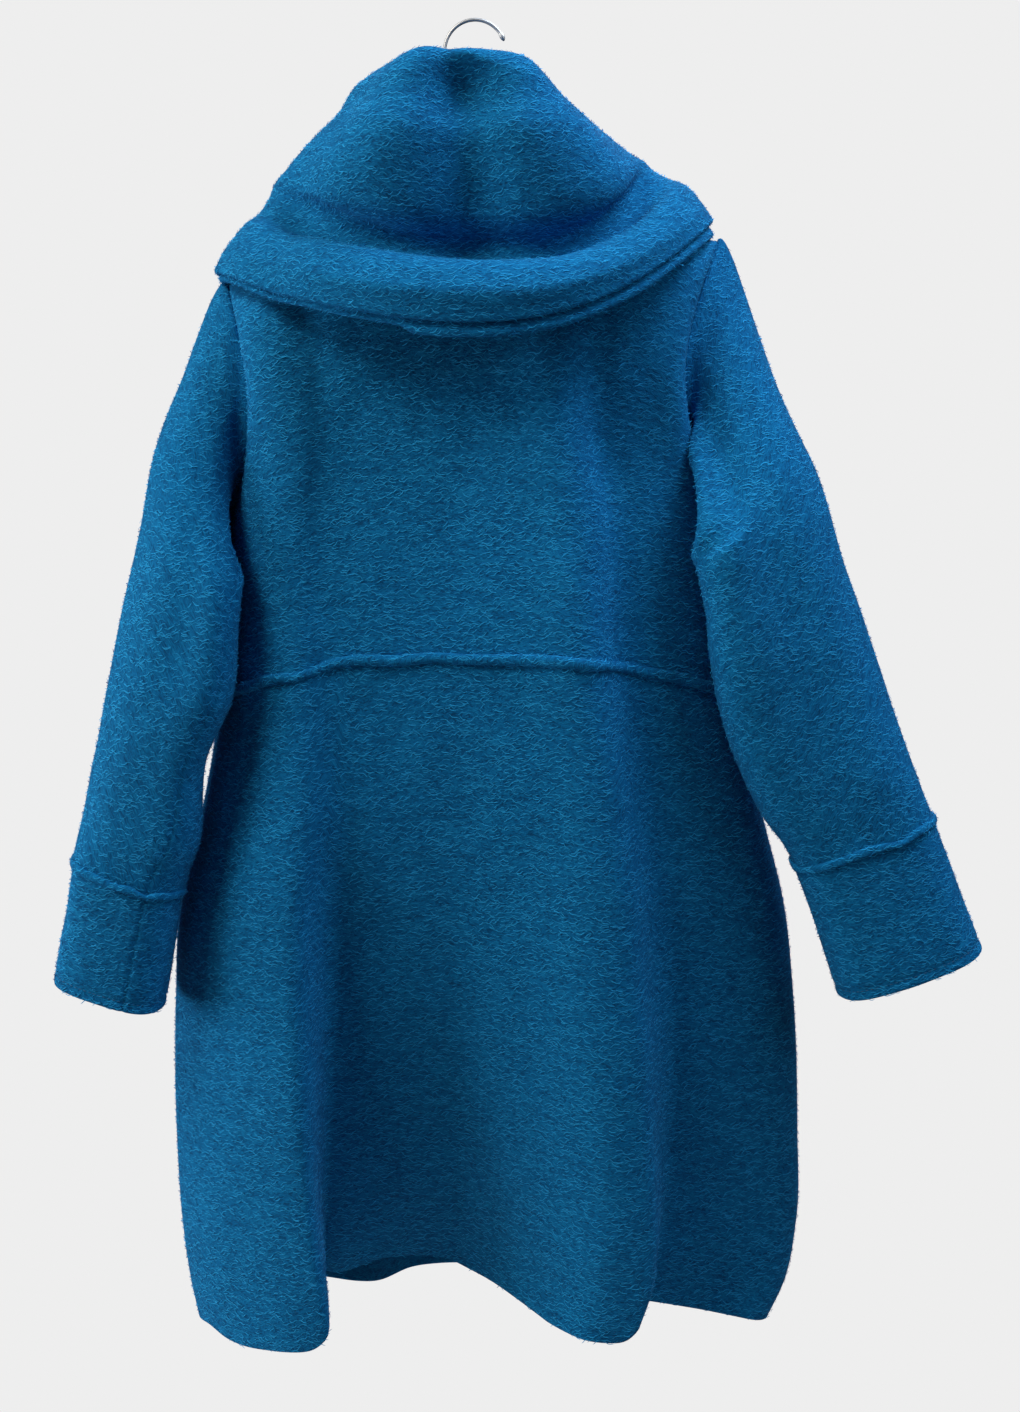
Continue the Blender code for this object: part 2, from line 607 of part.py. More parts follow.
def swept(name, loops, closed=False):
    """A solid through loops of points, each loop one section of it."""
    shape = bmesh.new()
    rings = [[shape.verts.new(p * METRES) for p in loop] for loop in loops]
    count = len(rings[0])
    pairs = list(zip(rings, rings[1:]))
    if closed:
        pairs.append((rings[-1], rings[0]))
    else:
        shape.faces.new(rings[0])
        shape.faces.new(rings[-1])
    for one, two in pairs:
        for i in range(count):
            j = (i + 1) % count
            shape.faces.new((one[i], one[j], two[j], two[i]))
    return finished(name, shape)


def finished(name, shape):
    bmesh.ops.recalc_face_normals(shape, faces=shape.faces)
    mesh = bpy.data.meshes.new(name)
    shape.to_mesh(mesh)
    shape.free()
    node = bpy.data.objects.new(name, mesh)
    bpy.context.scene.collection.objects.link(node)
    return node


def material(name, colour, roughness, metallic=0.0):
    made = bpy.data.materials.new(name)
    made.use_nodes = True
    shader = made.node_tree.nodes["Principled BSDF"]
    shader.inputs["Base Color"].default_value = (*colour, 1.0)
    shader.inputs["Roughness"].default_value = roughness
    shader.inputs["Metallic"].default_value = metallic
    return made


NODES = [hanger_hook(), hanger_arms()]

SKIRT, CHEST = panel_levels()
BELOW_SEAM = waist_levels(-SEAM / 2) - WAIST_LEVEL
ABOVE_SEAM = waist_levels(SEAM / 2) - WAIST_LEVEL
NODES.append(body_panel("back_lower", back_columns(), SKIRT, -1, waist_trim=BELOW_SEAM))
NODES.append(body_panel("back_upper", back_columns(), CHEST, -1, waist_trim=ABOVE_SEAM))
NODES.append(waist_welt("waist_welt_back", back_columns(), -1))
for side, word in ((-1, "left"), (1, "right")):
    turns = front_columns(side)
    NODES.append(body_panel("front_lower_" + word, turns, SKIRT, 1, BELOW_SEAM, side))
    NODES.append(body_panel("front_upper_" + word, turns, CHEST, 1, ABOVE_SEAM, side))
    NODES.append(waist_welt("waist_welt_" + word, turns, 1, side))

for side, word, rings in ((-1, "left", LEFT_SLEEVE), (1, "right", RIGHT_SLEEVE)):
    above, below = ring_spans(rings)
    welt_top, sleeve_end = CUFF_RING - WELT_HEIGHT / 2 / above, CUFF_RING - SEAM / 2 / above
    cuff_top, welt_foot = CUFF_RING + SEAM / 2 / below, CUFF_RING + WELT_HEIGHT / 2 / below
    sleeve, cuff = SLEEVE_STEPS + (welt_top, sleeve_end), (cuff_top, welt_foot) + CUFF_STEPS
    NODES.append(sleeve_tube("sleeve_" + word, side, rings, sleeve))
    NODES.append(sleeve_tube("cuff_" + word, side, rings, cuff))
    NODES.append(cuff_welt("cuff_welt_" + word, side, rings))

EDGE = len(HOOD) - 1.0
NODES.append(hood_layer("hood_outer", 0.0, (EDGE - HOOD_LIP,)))
NODES.append(hood_layer("hood_under", WALL + SEAM, (EDGE - HOOD_LIP, EDGE)))

for node in NODES:
    if node.name == "hanger_hook":
        node.data.materials.append(material("hanger_wire", (0.12, 0.12, 0.13), 0.35, 1.0))
    elif node.name == "hanger_arms":
        node.data.materials.append(material("hanger_bar", (0.05, 0.05, 0.05), 0.5))
    else:
        node.data.materials.append(material(node.name + "_wool", (0.006, 0.13, 0.30), 0.95))
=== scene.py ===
"""Hooded coat of boiled wool on a hanger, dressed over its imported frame.

The origin is the inside of the hook's top. +X is the wearer's right, +Y the wearer's front
and +Z up, so the back of the coat faces -Y. Sizes are in millimetres and angles in degrees;
only the finished meshes are in metres.
"""

import math
from collections import namedtuple

import bmesh
import bpy
import numpy as np
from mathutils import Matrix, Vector


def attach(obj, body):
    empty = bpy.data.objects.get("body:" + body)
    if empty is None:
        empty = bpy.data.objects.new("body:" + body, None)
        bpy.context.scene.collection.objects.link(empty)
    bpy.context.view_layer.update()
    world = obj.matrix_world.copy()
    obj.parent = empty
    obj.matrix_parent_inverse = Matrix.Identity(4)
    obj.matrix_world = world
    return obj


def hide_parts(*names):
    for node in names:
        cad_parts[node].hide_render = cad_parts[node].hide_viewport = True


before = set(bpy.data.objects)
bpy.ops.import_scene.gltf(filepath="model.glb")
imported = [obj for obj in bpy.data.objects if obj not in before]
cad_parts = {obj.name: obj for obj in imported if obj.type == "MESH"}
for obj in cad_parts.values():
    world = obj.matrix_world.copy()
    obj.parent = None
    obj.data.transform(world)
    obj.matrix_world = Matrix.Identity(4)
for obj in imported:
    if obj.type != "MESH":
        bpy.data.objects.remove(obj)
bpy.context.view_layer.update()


# Hanger hook.
# A length of plated steel wire, bent over a former to an open hook. Its foot is driven into
# the middle of the bar, and its cut tip is dipped to a small bead so that it doesn't snag.
METRES = 0.001
HOOK_RADIUS, HOOK_WIRE = 24.0, 1.5  # inside of the hook, radius of its wire
HOOK_TIP_ANGLE, HOOK_ARC_END = 20.0, 235.0
HOOK_FOOT_Z = -147.7
HOOK_BEAD = (0.5, 1.0, 1.3, 1.45, 1.45, 1.3, 1.1)  # the wire's swelling at its first points
HOOK_ARC_POINTS, HOOK_BEND_POINTS = 90, 24
HOOK_GREY, HOOK_DARK = "#DADCDE", "#B2B5B8"
DULLING = 6.0  # size of the patches where the plating has dulled
DRAW_LINE = 0.4  # marks of the drawing die, drawn coarser than real so that they show
MARK_DEPTH = 0.1


def colour(hex_code):
    """Linear colour of an sRGB hex code."""
    parts = [int(hex_code[i : i + 2], 16) / 255 for i in (1, 3, 5)]
    return (*(p / 12.92 if p <= 0.04045 else ((p + 0.055) / 1.055) ** 2.4 for p in parts), 1.0)


def add_node(tree, kind, sockets=None, **settings):
    """Add a node; each socket takes a value or the output that it is linked to."""
    made = tree.nodes.new(kind)
    for name, value in settings.items():
        setattr(made, name, value)
    for name, value in (sockets or {}).items():
        if isinstance(value, bpy.types.NodeSocket):
            tree.links.new(value, made.inputs[name])
        else:
            made.inputs[name].default_value = value
    return made


def new_material(name, constants):
    """A material, its tree and its shader, with the shader's even values set."""
    made = bpy.data.materials.new(name)
    made.use_nodes = True
    shader = made.node_tree.nodes["Principled BSDF"]
    for socket, value in constants.items():
        shader.inputs[socket].default_value = value
    return made, made.node_tree, shader


def new_piece(name, data):
    piece = bpy.data.objects.new(name, data)
    bpy.context.scene.collection.objects.link(piece)
    return piece


def plain_mesh(shaped):
    """Turn a curve, or a mesh with its modifiers, into a plain mesh of the same name."""
    name = shaped.name
    graph = bpy.context.evaluated_depsgraph_get()
    mesh = bpy.data.meshes.new_from_object(
        shaped.evaluated_get(graph), preserve_all_data_layers=True, depsgraph=graph
    )
    bpy.data.objects.remove(shaped)
    return new_piece(name, mesh)


def dress(piece, finish, slot, *nodes):
    """Give a piece its material, hang it on the coat and let it stand for its CAD nodes."""
    piece.data.materials.clear()
    piece.data.materials.append(finish)
    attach(piece, "root")
    if nodes:
        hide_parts(*nodes)


def hook_path():
    """Centre line of the hook, from its tip over the top and down to the bar."""
    radius = HOOK_RADIUS + HOOK_WIRE
    end = math.radians(HOOK_ARC_END)
    bend = -radius * math.cos(end) / (1 + math.cos(end))
    bend_x, bend_z = (radius + bend) * math.cos(end), (radius + bend) * math.sin(end)
    arc = np.radians(np.linspace(HOOK_TIP_ANGLE, HOOK_ARC_END, HOOK_ARC_POINTS))
    points = [(radius * math.cos(a), radius * math.sin(a)) for a in arc]
    for a in np.radians(np.linspace(HOOK_ARC_END - 180.0, 0.0, HOOK_BEND_POINTS))[1:]:
        points.append((bend_x + bend * math.cos(a), bend_z + bend * math.sin(a)))
    points.append((0.0, HOOK_FOOT_Z + HOOK_RADIUS))
    return [(x, 0.0, z - HOOK_RADIUS) for x, z in points]


def bent_wire(name, path, swelling):
    curve = bpy.data.curves.new(name, "CURVE")
    curve.dimensions = "3D"
    curve.bevel_depth = HOOK_WIRE * METRES
    curve.bevel_resolution = 5
    curve.use_fill_caps = True
    spline = curve.splines.new("POLY")
    spline.points.add(len(path) - 1)
    for point, place in zip(spline.points, path):
        point.co = (*(c * METRES for c in place), 1.0)
    for point, size in zip(spline.points, swelling):
        point.radius = size
    wire = plain_mesh(new_piece(name, curve))
    wire.data.shade_smooth()
    return wire


# Zinc-plated steel: a grey metal, dulled unevenly, with faint lines from drawing
plated_steel, tree, shader = new_material("zinc_plated_steel", {"Metallic": 1.0})
place = add_node(tree, "ShaderNodeTexCoord").outputs["Object"]
dulling = add_node(
    tree, "ShaderNodeTexNoise", {"Vector": place, "Scale": 1 / (DULLING * METRES), "Detail": 4.0}
)
gloss = add_node(
    tree, "ShaderNodeMapRange", {"Value": dulling.outputs["Fac"], "To Min": 0.42, "To Max": 0.6}
)
lines = add_node(
    tree, "ShaderNodeTexNoise", {"Vector": place, "Scale": 1 / (DRAW_LINE * METRES), "Detail": 2.0}
)
marks = add_node(
    tree,
    "ShaderNodeBump",
    {"Height": lines.outputs["Fac"], "Strength": 0.15, "Distance": MARK_DEPTH * METRES},
)
greys = add_node(
    tree,
    "ShaderNodeMix",
    {0: dulling.outputs["Fac"], 6: colour(HOOK_DARK), 7: colour(HOOK_GREY)},
    data_type="RGBA",
)
tree.links.new(greys.outputs[2], shader.inputs["Base Color"])
tree.links.new(gloss.outputs["Result"], shader.inputs["Roughness"])
tree.links.new(marks.outputs["Normal"], shader.inputs["Normal"])

hook = bent_wire("hook_wire", hook_path(), HOOK_BEAD)
dress(hook, plated_steel, "hook_steel", "hanger_hook")


# Hanger bar.
# A black bar that carries the shoulders, oval in section and thinner towards its tips.
# It is moulded in plastic in one piece, and is deepest in the middle, where the hook stands.
HANGER_LEFT, HANGER_RIGHT = 192.0, 187.0
BAR_PEAK_Z, BAR_NECK_LEFT_Z, BAR_NECK_RIGHT_Z = -148.0, -171.9, -161.9
BAR_LEFT_Z, BAR_RIGHT_Z = -217.1, -182.4  # top of the bar at its tips
BAR_NECK = 85.0  # from the middle to where the bar's slope changes
BAR_HALF_DEPTH = 6.0
BAR_HEIGHTS = (18.0, 11.0)  # in the middle, at the tips
BAR_STATIONS, BAR_SECTION = 120, 28
BAR_TIP, BAR_TIP_LEAST = 7.0, 0.02  # length over which each tip rounds off, share at its end
BAR_BLACK, BAR_GREY = "#17181A", "#26282B"
BAR_GRAIN = 0.7  # the mould's fine grain, drawn coarser than real so that it shows
BAR_RUBBING = 30.0  # size of the patches that cloth has rubbed


def grid_faces(rows, columns, closed):
    """Rows and columns of the corners of each face of a grid of points."""
    spans = columns if closed else columns - 1
    r, c = np.meshgrid(np.arange(rows - 1), np.arange(spans), indexing="ij")
    corner_rows = np.stack([r, r, r + 1, r + 1], axis=-1).reshape(-1, 4)
    corner_columns = np.stack([c, c + 1, c + 1, c], axis=-1).reshape(-1, 4)
    return corner_rows, corner_columns


def tube_mesh(name, loops):
    """A closed skin through loops of points, with a cap at each end."""
    rows, columns = loops.shape[:2]
    corner_rows, corner_columns = grid_faces(rows, columns, True)
    faces = (corner_rows * columns + corner_columns % columns).tolist()
    last = (rows - 1) * columns
    faces += [list(range(columns))[::-1], list(range(last, last + columns))]
    mesh = bpy.data.meshes.new(name)
    mesh.from_pydata((loops.reshape(-1, 3) * METRES).tolist(), [], faces)
    mesh.shade_smooth()
    return mesh


def bar_loops():
    x = np.linspace(-HANGER_LEFT, HANGER_RIGHT, BAR_STATIONS)
    knots = (-HANGER_LEFT, -BAR_NECK, 0.0, BAR_NECK, HANGER_RIGHT)
    tops = (BAR_LEFT_Z, BAR_NECK_LEFT_Z, BAR_PEAK_Z, BAR_NECK_RIGHT_Z, BAR_RIGHT_Z)
    top = np.interp(x, knots, tops)
    height = np.interp(np.abs(x), (0.0, HANGER_LEFT), BAR_HEIGHTS)
    from_tip = np.minimum(x + HANGER_LEFT, HANGER_RIGHT - x)
    blunt = np.sqrt(1 - (1 - np.clip(from_tip / BAR_TIP, BAR_TIP_LEAST, 1.0)) ** 2)
    angle = np.linspace(0.0, 2 * np.pi, BAR_SECTION, endpoint=False)
    middle = top - height / 2
    y = np.outer(blunt, BAR_HALF_DEPTH * np.sin(angle))
    z = middle[:, None] + np.outer(blunt * height / 2, np.cos(angle))
    return np.stack([np.repeat(x[:, None], BAR_SECTION, axis=1), y, z], axis=-1)


# Moulded polypropylene: a near-black plastic with a faint satin grain
black_plastic, tree, shader = new_material("moulded_black_polypropylene", {"IOR": 1.49})
place = add_node(tree, "ShaderNodeTexCoord").outputs["Object"]
grain = add_node(
    tree, "ShaderNodeTexNoise", {"Vector": place, "Scale": 1 / (BAR_GRAIN * METRES), "Detail": 3.0}
)
rubbing = add_node(
    tree, "ShaderNodeTexNoise", {"Vector": place, "Scale": 1 / (BAR_RUBBING * METRES), "Detail": 5.0}
)
satin = add_node(
    tree, "ShaderNodeMapRange", {"Value": rubbing.outputs["Fac"], "To Min": 0.38, "To Max": 0.6}
)
skin = add_node(
    tree,
    "ShaderNodeBump",
    {"Height": grain.outputs["Fac"], "Strength": 0.3, "Distance": MARK_DEPTH * METRES},
)
blacks = add_node(
    tree,
    "ShaderNodeMix",
    {0: rubbing.outputs["Fac"], 6: colour(BAR_BLACK), 7: colour(BAR_GREY)},
    data_type="RGBA",
)
tree.links.new(blacks.outputs[2], shader.inputs["Base Color"])
tree.links.new(satin.outputs["Result"], shader.inputs["Roughness"])
tree.links.new(skin.outputs["Normal"], shader.inputs["Normal"])

bar = new_piece("hanger_bar_moulding", tube_mesh("hanger_bar_moulding", bar_loops()))
dress(bar, black_plastic, "hanger_bar", "hanger_arms")


# Back and fronts.
# Six panels of thick boiled wool, cut with raw edges and sewn at the shoulders, the sides
# and the waist: an upper and a flared lower back, and the same for each front. They hang
# from the bar in soft upright folds that grow towards the hem.
WALL = 3.0  # boiled wool
SEAM = 0.3  # between pieces that are sewn together
HEM_Z, WAIST_Z, ARMPIT_Z = -1095.0, -521.0, -412.0  # at the centre of the back
HEM_LEVEL, WAIST_LEVEL, ARMPIT_LEVEL, TOP_LEVEL = 0.0, 0.84, 1.0, 1.33
WAIST_SIDE_DROP = 40.0
HEM_SIDE_DROP, HEM_FRONT_DROP = 28.0, 45.0
ARMPIT_TILT = 15.0
HEM_LIFT = 0.18  # rise of the hem for each millimetre that a fold runs inwards
BACK_FULLNESS = 0.3  # how far the oval of the body is squared
SHOULDER_ROUND = 45.0  # drop over which the cloth rounds off the hanger
ARMHOLE_BACK, ARMHOLE_FRONT = 48.0, 55.0
ARMHOLE_FOOT, ARMHOLE_EASE = 1.1, 0.5  # how the armhole runs in at its foot, less so higher up
# Powers of the place across a panel: the higher, the closer it keeps to the side seam
SIDE_PULL, ARMHOLE_PULL, WAIST_SINK, FOLD_HOLD, SEAM_HOLD = 3, 6, 2.6, 6, 10
FRONT_GAP_TOP, FRONT_GAP_HEM = 6.0, 26.0

BodySection = namedtuple("BodySection", "level left right back front left_y right_y")
BODY = (
    BodySection(0.00, 251, 262, 106, 98, -34, -30),
    BodySection(0.04, 257, 276, 108, 99, -30, -24),
    BodySection(0.12, 265, 288, 112, 101, -22, -14),
    BodySection(0.25, 270, 288, 116, 103, -14, -10),
    BodySection(0.44, 268, 281, 119, 103, -10, -10),
    BodySection(0.56, 262, 271, 120, 102, -10, -10),
    BodySection(0.67, 243, 252, 119, 99, -11, -10),
    BodySection(0.76, 230, 236, 117, 96, -12, -10),
    BodySection(0.84, 221, 223, 114, 93, -13, -12),
    BodySection(0.92, 213, 212, 108, 89, -14, -14),
    BodySection(1.00, 210, 206, 102, 85, -15, -18),
    BodySection(1.08, 193, 181, 97, 82, -12, -14),
    BodySection(1.16, 187, 173, 92, 78, -8, -9),
    BodySection(1.25, 195, 185, 87, 74, -4, -4),
    BodySection(1.33, 210, 205, 82, 70, 0, 0),
)

# Folds of the skirt: where each lies across the panel, from -1 at the left seam to 1 at
# the right, how soft its two flanks are, and how far it stands out
Fold = namedtuple("Fold", "left right left_soft right_soft chest waist hem drift")
BACK_FOLDS = (
    Fold(-0.92, -0.50, 0.26, 0.07, 7, 9, 38, -0.10),
    Fold(-0.50, 0.16, 0.07, 0.14, -6, -9, -92, -0.10),
    Fold(0.20, 0.53, 0.15, 0.07, 10, 11, 32, 0.0),
    Fold(0.53, 1.02, 0.07, 0.12, -10, -13, -42, 0.0),
)
FRONT_FOLDS = (
    Fold(-0.72, -0.40, 0.18, 0.16, 0, -3, -30, 0.0),
    Fold(0.36, 0.70, 0.18, 0.18, 0, -3, -34, 0.0),
)
FOLD_GROWTH = 1.6  # power with which a fold grows from the waist to the hem
FOLD_FADE = (ARMPIT_LEVEL + 0.06, TOP_LEVEL - 0.04)  # levels between which it dies out
FOLD_LEAN = 0.4  # sideways lean of a fold for each millimetre that it stands out
CHEST_DRIFT = 0.6  # level from which a fold drifts sideways towards the chest
TOP_SOFTENING = 2.2  # how much softer the flanks are at the chest than at the hem

# Soft creases laid over the folds: from one level to another, where each lies across the
# panel at its two ends, its half width, and how far it stands out
Crease = namedtuple("Crease", "low high at_low at_high width depth")
CREASE_ENDS = 0.3  # share of a crease over which each end dies out
BACK_CREASES = (
    Crease(0.00, 1.80, -0.28, -0.86, 0.09, -4),
    Crease(0.00, 1.80, -0.50, -1.05, 0.12, 4),
    Crease(0.00, 1.80, 0.30, 0.38, 0.11, 6),
    Crease(0.00, 1.80, 0.52, 0.62, 0.08, -4),
    Crease(-0.30, 0.80, 0.02, 0.10, 0.14, 3),
    Crease(0.90, 1.22, -0.10, 0.10, 0.08, -1.2),
    Crease(0.40, 0.80, -0.20, -0.30, 0.08, -1.5),
)
FRONT_CREASES = (
    Crease(0.20, 1.20, -0.55, -0.60, 0.10, -6),
    Crease(0.30, 1.15, -0.22, -0.28, 0.10, 4),
    Crease(0.20, 1.20, 0.52, 0.60, 0.10, -6),
    Crease(0.30, 1.15, 0.20, 0.30, 0.10, 4),
)

NECK_HALF, NECK_BACK, NECK_FRONT = 85.0, 75.0, 72.0
NECK_BACK_Z, NECK_FRONT_Z = -185.0, -250.0
NECK_LEFT_Z, NECK_RIGHT_Z = -168.0, -158.0
SHOULDER_LEFT_Z, SHOULDER_RIGHT_Z = -213.0, -178.0

# Places where the hem turns up, as where a fold rolls under, or drops: where each lies
# across the panel, its half width and its rise
HemCorner = namedtuple("HemCorner", "at width rise")
BACK_HEM = (
    HemCorner(-0.52, 0.06, 22),
    HemCorner(0.50, 0.055, 20),
    HemCorner(-0.95, 0.06, 8),
    HemCorner(-0.38, 0.12, -13),
    HemCorner(0.07, 0.06, -5),
)
FRONT_HEM = (HemCorner(-0.42, 0.18, -12),)
HEM_CORNER_LEVEL = 0.12  # level up to which the cloth follows its hem

BACK_COLUMNS, FRONT_COLUMNS = 210, 110
SKIRT_ROWS, CHEST_ROWS, ARMHOLE_ROWS = 130, 26, 60
SHOULDER_CROWDING = 1.7  # power that brings the rows closer towards the shoulder
UNEVEN = ((55.0, 0.7), (17.0, 0.22))  # size and height of the cloth's random relief
EDGE_ROUND, EDGE_ANGLE = 1.3, 60.0  # rounding of cut edges, and what counts as one
SIDE_TRIM = 0.02  # degrees that each panel stops short of the side seam
FRONT_EDGE_SHARE = 0.35  # share of a front over which its edge is eased to the opening
SHOULDER_FADE = 0.08  # levels below the shoulder seam over which creases die out


def column(table, name):
    return np.array([getattr(row, name) for row in table], float)


def through(knots, values, at):
    """A smooth curve through the values at the knots; straight on past the ends."""
    knots, values = np.asarray(knots, float), np.asarray(values, float)
    at = np.asarray(at, float)
    slopes = np.gradient(values, knots, axis=0)
    i = np.clip(np.searchsorted(knots, at, side="right") - 1, 0, len(knots) - 2)
    width = knots[i + 1] - knots[i]
    raw = (at - knots[i]) / width
    t = np.clip(raw, 0.0, 1.0)
    beyond = (raw - t) * width
    extra = values.ndim - 1
    width, t, beyond = (v.reshape(v.shape + (1,) * extra) for v in (width, t, beyond))
    near, far = values[i], values[i + 1]
    curve = (
        (2 * t**3 - 3 * t**2 + 1) * near
        + (t**3 - 2 * t**2 + t) * width * slopes[i]
        + (3 * t**2 - 2 * t**3) * far
        + (t**3 - t**2) * width * slopes[i + 1]
    )
    return curve + beyond * np.where(t > 0.5, slopes[i + 1], slopes[i])


def ramp(low, high, at):
    """0 below low, 1 above high, smooth between."""
    t = np.clip((at - low) / (high - low), 0.0, 1.0)
    return t * t * (3 - 2 * t)


def body_size(level, name):
    return through(column(BODY, "level"), column(BODY, name), level)


def fold_depth(folds, across, level):
    """How far the folds stand out at a place across the panel and a level."""
    below_waist = (np.clip(WAIST_LEVEL - level, 0.0, None) / WAIST_LEVEL) ** FOLD_GROWTH
    above_waist = ramp(WAIST_LEVEL, ARMPIT_LEVEL, level)
    fade = 1 - ramp(*FOLD_FADE, level)
    softening = 1 + (TOP_SOFTENING - 1) * np.clip(level / WAIST_LEVEL, 0.0, 1.0)
    total = np.zeros(np.broadcast(across, level).shape)
    for fold in folds:
        depth = fold.waist + (fold.hem - fold.waist) * below_waist
        depth = depth + (fold.chest - fold.waist) * above_waist
        soft_left, soft_right = fold.left_soft * softening, fold.right_soft * softening
        drift = fold.drift * ramp(CHEST_DRIFT, ARMPIT_LEVEL, level)
        rise = ramp(fold.left + drift - soft_left, fold.left + drift + soft_left, across)
        fall = ramp(fold.right + drift - soft_right, fold.right + drift + soft_right, across)
        total = total + depth * rise * (1 - fall)
    return total * fade * (1 - np.abs(across) ** FOLD_HOLD)


def crease_relief(creases, across, along):
    """How far the creases stand out of the cloth."""
    total = np.zeros(np.broadcast(across, along).shape)
    for crease in creases:
        run = (along - crease.low) / (crease.high - crease.low)
        at = crease.at_low + (crease.at_high - crease.at_low) * np.clip(run, 0.0, 1.0)
        fade = ramp(0.0, CREASE_ENDS, run) * (1 - ramp(1 - CREASE_ENDS, 1.0, run))
        total = total + crease.depth * fade * np.exp(-(((across - at) / crease.width) ** 2))
    return total


def neckline(turn):
    """Points of the neck seam round the neck, 0 at the centre of the back."""
    sine, cosine = np.sin(np.radians(turn)), np.cos(np.radians(turn))
    depth = np.where(cosine > 0, NECK_BACK, NECK_FRONT)
    side_z = np.where(sine > 0, NECK_RIGHT_Z, NECK_LEFT_Z)
    end_z = np.where(cosine > 0, NECK_BACK_Z, NECK_FRONT_Z)
    z = end_z + (side_z - end_z) * sine**2
    return np.stack([NECK_HALF * sine, -depth * cosine, z], axis=-1)


def top_edge(x, face):
    """Shoulder seam outside the neck, neckline inside it."""
    inside = np.degrees(np.arcsin(np.clip(x / NECK_HALF, -1.0, 1.0)))
    neck = neckline(inside if face < 0 else 180.0 - inside)
    reach_left, reach_right = body_size(TOP_LEVEL, "left"), body_size(TOP_LEVEL, "right")
    right = (x - NECK_HALF) / (reach_right - NECK_HALF)
    left = (-x - NECK_HALF) / (reach_left - NECK_HALF)
    shoulder_z = np.where(
        x > 0,
        NECK_RIGHT_Z + (SHOULDER_RIGHT_Z - NECK_RIGHT_Z) * right,
        NECK_LEFT_Z + (SHOULDER_LEFT_Z - NECK_LEFT_Z) * left,
    )
    on_neck = np.abs(x) < NECK_HALF
    y = np.where(on_neck, neck[..., 1], 0.0) + face * SEAM / 2
    return y, np.where(on_neck, neck[..., 2], shoulder_z)


def body_surface(turn, level, face):
    """Outside of the body: turn 0 is the centre of the back, 90 the right side, 180 the
    centre of the front. face is -1 on the back panels and 1 on the fronts."""
    turn, level = np.broadcast_arrays(np.asarray(turn, float), np.asarray(level, float))
    sine, cosine = np.sin(np.radians(turn)), np.cos(np.radians(turn))
    left, right = body_size(level, "left"), body_size(level, "right")
    middle, half = (right - left) / 2, (right + left) / 2
    folds, depth_name = (BACK_FOLDS, "back") if face < 0 else (FRONT_FOLDS, "front")
    stands_out = fold_depth(folds, sine, level)
    share = np.clip((level - ARMPIT_LEVEL) / (TOP_LEVEL - ARMPIT_LEVEL), 0.0, 1.0)
    armhole = np.sin(np.pi * share) ** (ARMHOLE_FOOT - ARMHOLE_EASE * share)
    armhole = armhole * (ARMHOLE_BACK if face < 0 else ARMHOLE_FRONT)
    side_y = np.where(sine > 0, body_size(level, "right_y"), body_size(level, "left_y"))
    edge_y = side_y * np.abs(sine) ** SIDE_PULL + face * armhole * sine**ARMHOLE_PULL
    full = cosine * (1 + BACK_FULLNESS * sine**2)
    x = middle + half * sine - face * FOLD_LEAN * stands_out
    y = edge_y - body_size(level, depth_name) * full + face * stands_out
    hem_drop = np.where(
        cosine > 0,
        HEM_SIDE_DROP * sine**2,
        HEM_SIDE_DROP + (HEM_FRONT_DROP - HEM_SIDE_DROP) * cosine**2,
    )
    waist_drop = WAIST_SIDE_DROP * np.where(cosine > 0, np.abs(sine) ** WAIST_SINK, 1.0)
    hem_z = HEM_Z - hem_drop + HEM_LIFT * np.clip(-stands_out, 0.0, None)
    waist_z = WAIST_Z - waist_drop
    armpit_z = ARMPIT_Z + ARMPIT_TILT * sine
    z = np.where(
        level < WAIST_LEVEL,
        hem_z + (waist_z - hem_z) * level / WAIST_LEVEL,
        waist_z + (armpit_z - waist_z) * (level - WAIST_LEVEL) / (ARMPIT_LEVEL - WAIST_LEVEL),
    )
    top_y, top_z = top_edge(middle + half * sine, face)
    drop = (1 - share) * (top_z - armpit_z)
    rounding = np.sqrt(1 - (1 - np.clip(drop / SHOULDER_ROUND, 0.0, 1.0)) ** 2)
    upper = level > ARMPIT_LEVEL
    y = np.where(upper, top_y + (y - top_y) * rounding, y)
    z = np.where(upper, armpit_z + share * (top_z - armpit_z), z)
    return np.stack([x, y, z], axis=-1)


def outward(points, closed=False):
    """Unit vectors square to a grid of points."""
    if closed:
        points = np.concatenate([points[:, -1:], points, points[:, :1]], axis=1)
    normal = np.cross(np.gradient(points, axis=1), np.gradient(points, axis=0))
    normal /= np.linalg.norm(normal, axis=-1, keepdims=True)
    return normal[:, 1:-1] if closed else normal


def cloth_lengths(points, closed=False):
    """Lengths across and along the cloth at each point of its grid, from its middle."""
    if closed:
        points = np.concatenate([points, points[:, :1]], axis=1)
    steps = np.linalg.norm(np.diff(points, axis=1), axis=-1)
    across = np.concatenate([np.zeros((len(points), 1)), np.cumsum(steps, axis=1)], axis=1)
    across -= across[:, -1:] / 2
    steps = np.linalg.norm(np.diff(points, axis=0), axis=-1)
    along = np.concatenate([np.zeros((1, points.shape[1])), np.cumsum(steps, axis=0)])
    return across, along


